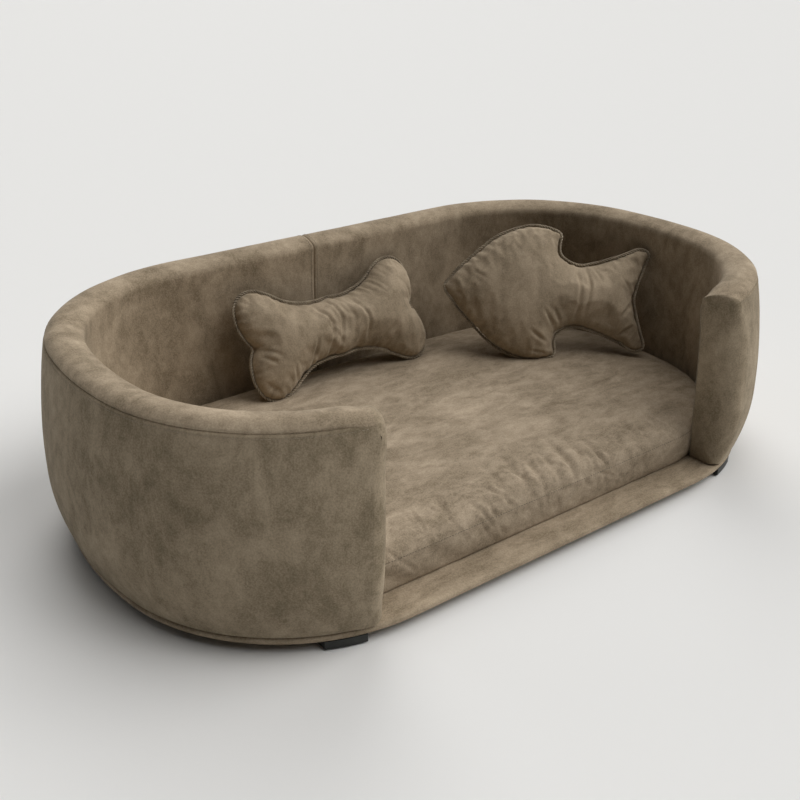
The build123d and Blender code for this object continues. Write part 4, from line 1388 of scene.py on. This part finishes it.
for _ in range(loose_folds):
    start = chance.uniform(front_low, front_high)
    height = chance.uniform(-0.034, 0.030)
    length = chance.uniform(0.012, 0.040)
    slant = chance.normal(0.1, 0.75)
    bend = start + slant * length * 0.5 + chance.normal(0, 0.0015)
    line = (start, height), (bend, height + length / 2), (start + slant * length, height + length)
    width, depth = chance.uniform(0.0015, 0.0040), chance.uniform(0.0004, 0.0018)
    close = reach & (np.abs(run - start) < length + 0.02)
    push[close] += fold_push(unrolled[close], line, width, depth) * above_foot[close]
groove = np.exp(-(across / groove_width) ** 2) * np.where(on_top > 0.5, 1.0, above_foot)
push -= groove_depth * groove
push = np.where(near_zip > 0, np.minimum(push, 0) * (1 - near_zip), push)
push = np.where(points[:, 2] < mattress_low + 0.001, 0, push)
points = points + normals * push[:, None]
points[:, 2] = np.maximum(points[:, 2], mattress_low)
set_vertices(mattress, points)
stuffed = ["mattress_top_cover", "mattress_foam", "mattress_bottom_cover", "mattress_boxing"]
settle(mattress, "mattress", stuffed)
print("crest at", round(float(points[:, 2].max()), 4))

# %% [markdown]
# # Stitches and zip teeth
# A stitch is a short thread lying along its seam, and a zip's coil is a row of small teeth.
# Both are a small rounded bar repeated, so both trees share the step that places bars. The
# stitches' tree first walks a path in even steps and turns each bar along it. The teeth's tree
# takes points as they are given, since every second tooth sits lower.

# %% trees for rows of small pieces
def place_bars(given, points, more):
    """Rounded bars at points, as thick and as long as asked, and the end of the tree."""
    bar = points.node("GeometryNodeMeshUVSphere", None, {"Segments": 6, "Rings": 5, "Radius": 0.5})
    sizes = {"X": given["Thickness"], "Y": given["Thickness"], "Z": given["Length"]}
    scale = points.node("ShaderNodeCombineXYZ", None, sizes)
    inputs = {"Points": points, "Instance": bar, "Scale": scale, **more}
    return finish_tree(given, points.node("GeometryNodeInstanceOnPoints", None, inputs))


def stitches_tree():
    """Bars that lie along a path, at even steps."""
    given = start_tree("row_of_bars", ("Spacing", "Thickness", "Length"))
    path = given["Path"]
    curve = path.node("GeometryNodeMeshToCurve", None, {0: path})
    inputs = {"Curve": curve, "Length": given["Spacing"]}
    walk = add_node(path.tree, "GeometryNodeCurveToPoints", {"mode": "LENGTH"}, inputs)
    points = Shade(path.tree, walk.outputs["Points"])
    return place_bars(given, points, {"Rotation": walk.outputs["Rotation"]})


def teeth_tree():
    """Upright bars at the points of a path."""
    given = start_tree("row_of_teeth", ("Thickness", "Length"))
    return place_bars(given, given["Path"], {})


bar_tree = stitches_tree()


def stitch_row(name, path, body, thread, spacing, length, thickness, closed=False):
    """A row of stitches along a path of space points."""
    values = {"Spacing": spacing, "Thickness": thickness, "Length": length, "Material": thread}
    return settle(grow(name, path, closed, bar_tree, values), body)


# %% [markdown]
# # Where the stitches run
# Just below the seam between side and top, a row of stitches holds the seam's allowance down;
# two more lie beside the seam at the back. Round each end's inner edge runs a narrow piping,
# whose pale thread is a painted highlight for the sheen along that edge.
# On the mattress the stitches lie in the groove of its seam.

# %% rows of stitches
# spacing, length and thickness of each kind of stitch
hem_sizes = 0.0040, 0.0033, 0.0005
back_sizes = 0.0046, 0.0038, 0.0007
seam_sizes = 0.0042, 0.0030, 0.0006
piping_pitch = 0.004
piping_sink = 0.0024
hook_depth = 0.018
seam_run = np.arange(0.022, wall_length - 0.022, 0.003)
hem_level = top_seam_height - 0.0048
hem_inset = float(side_inset(np.array(hem_level))) - 0.0001
hem_path = wall_point(seam_run, hem_inset, hem_level)
stitch_row("wall_seam_stitches", hem_path, body_frame, pale_thread_and_highlight, *hem_sizes)
over_top = spread(top_section(inner_rim_radius, 0), 0.002)
over_top = over_top[over_top[:, 1] > 0.060][3:]
for label, offset in (("right", -0.0052), ("left", 0.0052)):
    path = wall_point(back_seam_run + offset, over_top[:, 0], over_top[:, 1] + 0.0001)
    stitch_row(f"back_seam_stitches_{label}", path, body_frame, pale_thread_and_highlight, *back_sizes)
# The end piping's pale thread is a painted highlight for the sheen along each end's inner edge.
for label, edge_run, hook_level in (
    ("right", 0.0009, bed_height - 0.016),
    ("left", wall_length - 0.0009, bed_height - 0.020),
):
    levels = np.linspace(base_top + 0.002, hook_level, 70)
    lean = (levels - bed_height + rim_lean_depth) / (rim_lean_depth - hook_depth)
    lean = rim_lean * np.clip(lean, 0, 1)
    sunk = piping_sink * smooth((levels - hook_level + 0.012) / 0.012)
    path = wall_point(edge_run, wall_thickness - 0.0004 + lean - sunk, levels)
    turns = round(path_length(path)[-1] / piping_pitch)
    values = {"Strand Radius": 0.0005, "Turns": float(turns), "Step": 0.0012}
    values["Material"] = pale_thread_and_highlight
    piping = grow(f"end_highlight_piping_{label}", path, False, cord_tree, values)
    settle(piping, body_frame)
mattress_path = mattress_ring(seam_draw + 0.0002, 0.003)
mattress_path = np.column_stack([mattress_path, np.full(len(mattress_path), mattress_seam)])
stitch_row("mattress_seam_stitches", mattress_path, "mattress", seam_thread, *seam_sizes, True)

# %% zip teeth on the mattress
teeth_low, teeth_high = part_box("zip_teeth")
teeth_y = (teeth_low.y + teeth_high.y) / 2
teeth_level = (teeth_low.z + teeth_high.z) / 2
teeth_pitch = 0.0014
teeth_offset = 0.0007


def tooth_places(shift):
    """Even places along the zip, one for each tooth, at a height off its middle."""
    count = int((teeth_high.x - teeth_low.x) / teeth_pitch)
    at = teeth_low.x + teeth_pitch * (np.arange(count) + 0.5)
    return [(x, teeth_y, teeth_level + shift) for x in at]


teeth_points = tooth_places(teeth_offset)[::2] + tooth_places(-teeth_offset)[1::2]
tooth_values = {"Thickness": 0.00095, "Length": 0.0030, "Material": zip_coil}
teeth = grow("zip_tooth_rows", teeth_points, False, teeth_tree(), tooth_values)
settle(teeth, "mattress", ["zip_teeth"])
print("zip:", len(teeth_points), "teeth")

# %% [markdown]
# # Floor, light and camera
# The bed stands on a plain pale floor in soft light that comes from the whole right half of
# the room. A few distant lamps, each blurred over a wide angle, stand for that half: they
# leave the left side in shade and put deep shadows where the pillows rest. The sky lights
# almost nothing, and is pale only where the camera sees it. The camera is set from the
# photograph's viewing angle: the direction, the distance, and the lens.

# %% floor and light
def plain_floor():
    """A pale floor that keeps the bed's shadow."""
    material = bpy.data.materials.new("pale_floor")
    material.use_nodes = True
    finish_material(material, {
        "Base Color": (0.80, 0.80, 0.795, 1),
        "Roughness": 0.9,
        "Specular IOR Level": 0.1,
    })
    signs = ((-1, -1), (1, -1), (1, 1), (-1, 1))
    corners = [(x * floor_half, y * floor_half, 0) for x, y in signs]
    mesh_object("floor", corners, [(0, 1, 2, 3)], material)


floor_half = 30.0
sky_light, sky_seen = 0.02, 0.76
sun_blur = math.radians(40)
far_suns = (
    ("front_right", -60, 50, 0.80),
    ("right", -30, 50, 0.82),
    ("right_low", -12, 22, 0.90),
    ("back_right", 60, 50, 0.70),
    ("back_right_low", 60, 20, 0.78),
    ("back_left_low", 120, 20, 0.22),
    ("overhead", 0, 90, 0.56),
)


def far_sun(name, round_from_x, above, strength):
    """A distant lamp in a direction seen from the bed, blurred over a wide angle."""
    lamp = bpy.data.lights.new(name, "SUN")
    lamp.angle = sun_blur
    lamp.energy = strength
    lamp.color = (1.0, 0.992, 0.975)
    holder = bpy.data.objects.new(name, lamp)
    flat = math.cos(above)
    toward = (math.cos(round_from_x) * flat, math.sin(round_from_x) * flat, math.sin(above))
    holder.rotation_euler = Vector(toward).to_track_quat("Z", "Y").to_euler()
    bpy.context.scene.collection.objects.link(holder)


plain_floor()
world = bpy.data.worlds.new("soft_sky")
bpy.context.scene.world = world
world.use_nodes = True
sky = world.node_tree
soft_sky = sky.nodes["Background"].inputs
soft_sky["Color"].default_value = (1.0, 0.985, 0.965, 1)
to_camera = Shade(sky, add_node(sky, "ShaderNodeLightPath").outputs["Is Camera Ray"])
shown = to_camera.math("MULTIPLY_ADD", to_camera, sky_seen, sky_light)
link_or_set(sky, soft_sky["Strength"], shown)
for name, round_from_x, above, strength in far_suns:
    far_sun(name, math.radians(round_from_x), math.radians(above), strength)
print("floor and lamps set")

# %% camera
azimuth, elevation = math.radians(37.26), math.radians(25.46)
look_at = Vector((-0.04505, -0.00085, 0.1124))
distance = 1.4228
flat = math.cos(elevation)
backward = Vector((-math.sin(azimuth) * flat, -math.cos(azimuth) * flat, math.sin(elevation)))
rightward = Vector((math.cos(azimuth), -math.sin(azimuth), 0))
upward = backward.cross(rightward)
camera_data = bpy.data.cameras.new("camera")
camera_data.lens = 47.08
camera_data.sensor_width = 36
camera = bpy.data.objects.new("camera", camera_data)
turn = Matrix((rightward, upward, backward)).transposed().to_4x4()
camera.matrix_world = Matrix.Translation(look_at + backward * distance) @ turn
bpy.context.scene.collection.objects.link(camera)
bpy.context.scene.camera = camera
bpy.context.scene.view_settings.view_transform = "Standard"
print("camera at", [round(value, 3) for value in camera.location])
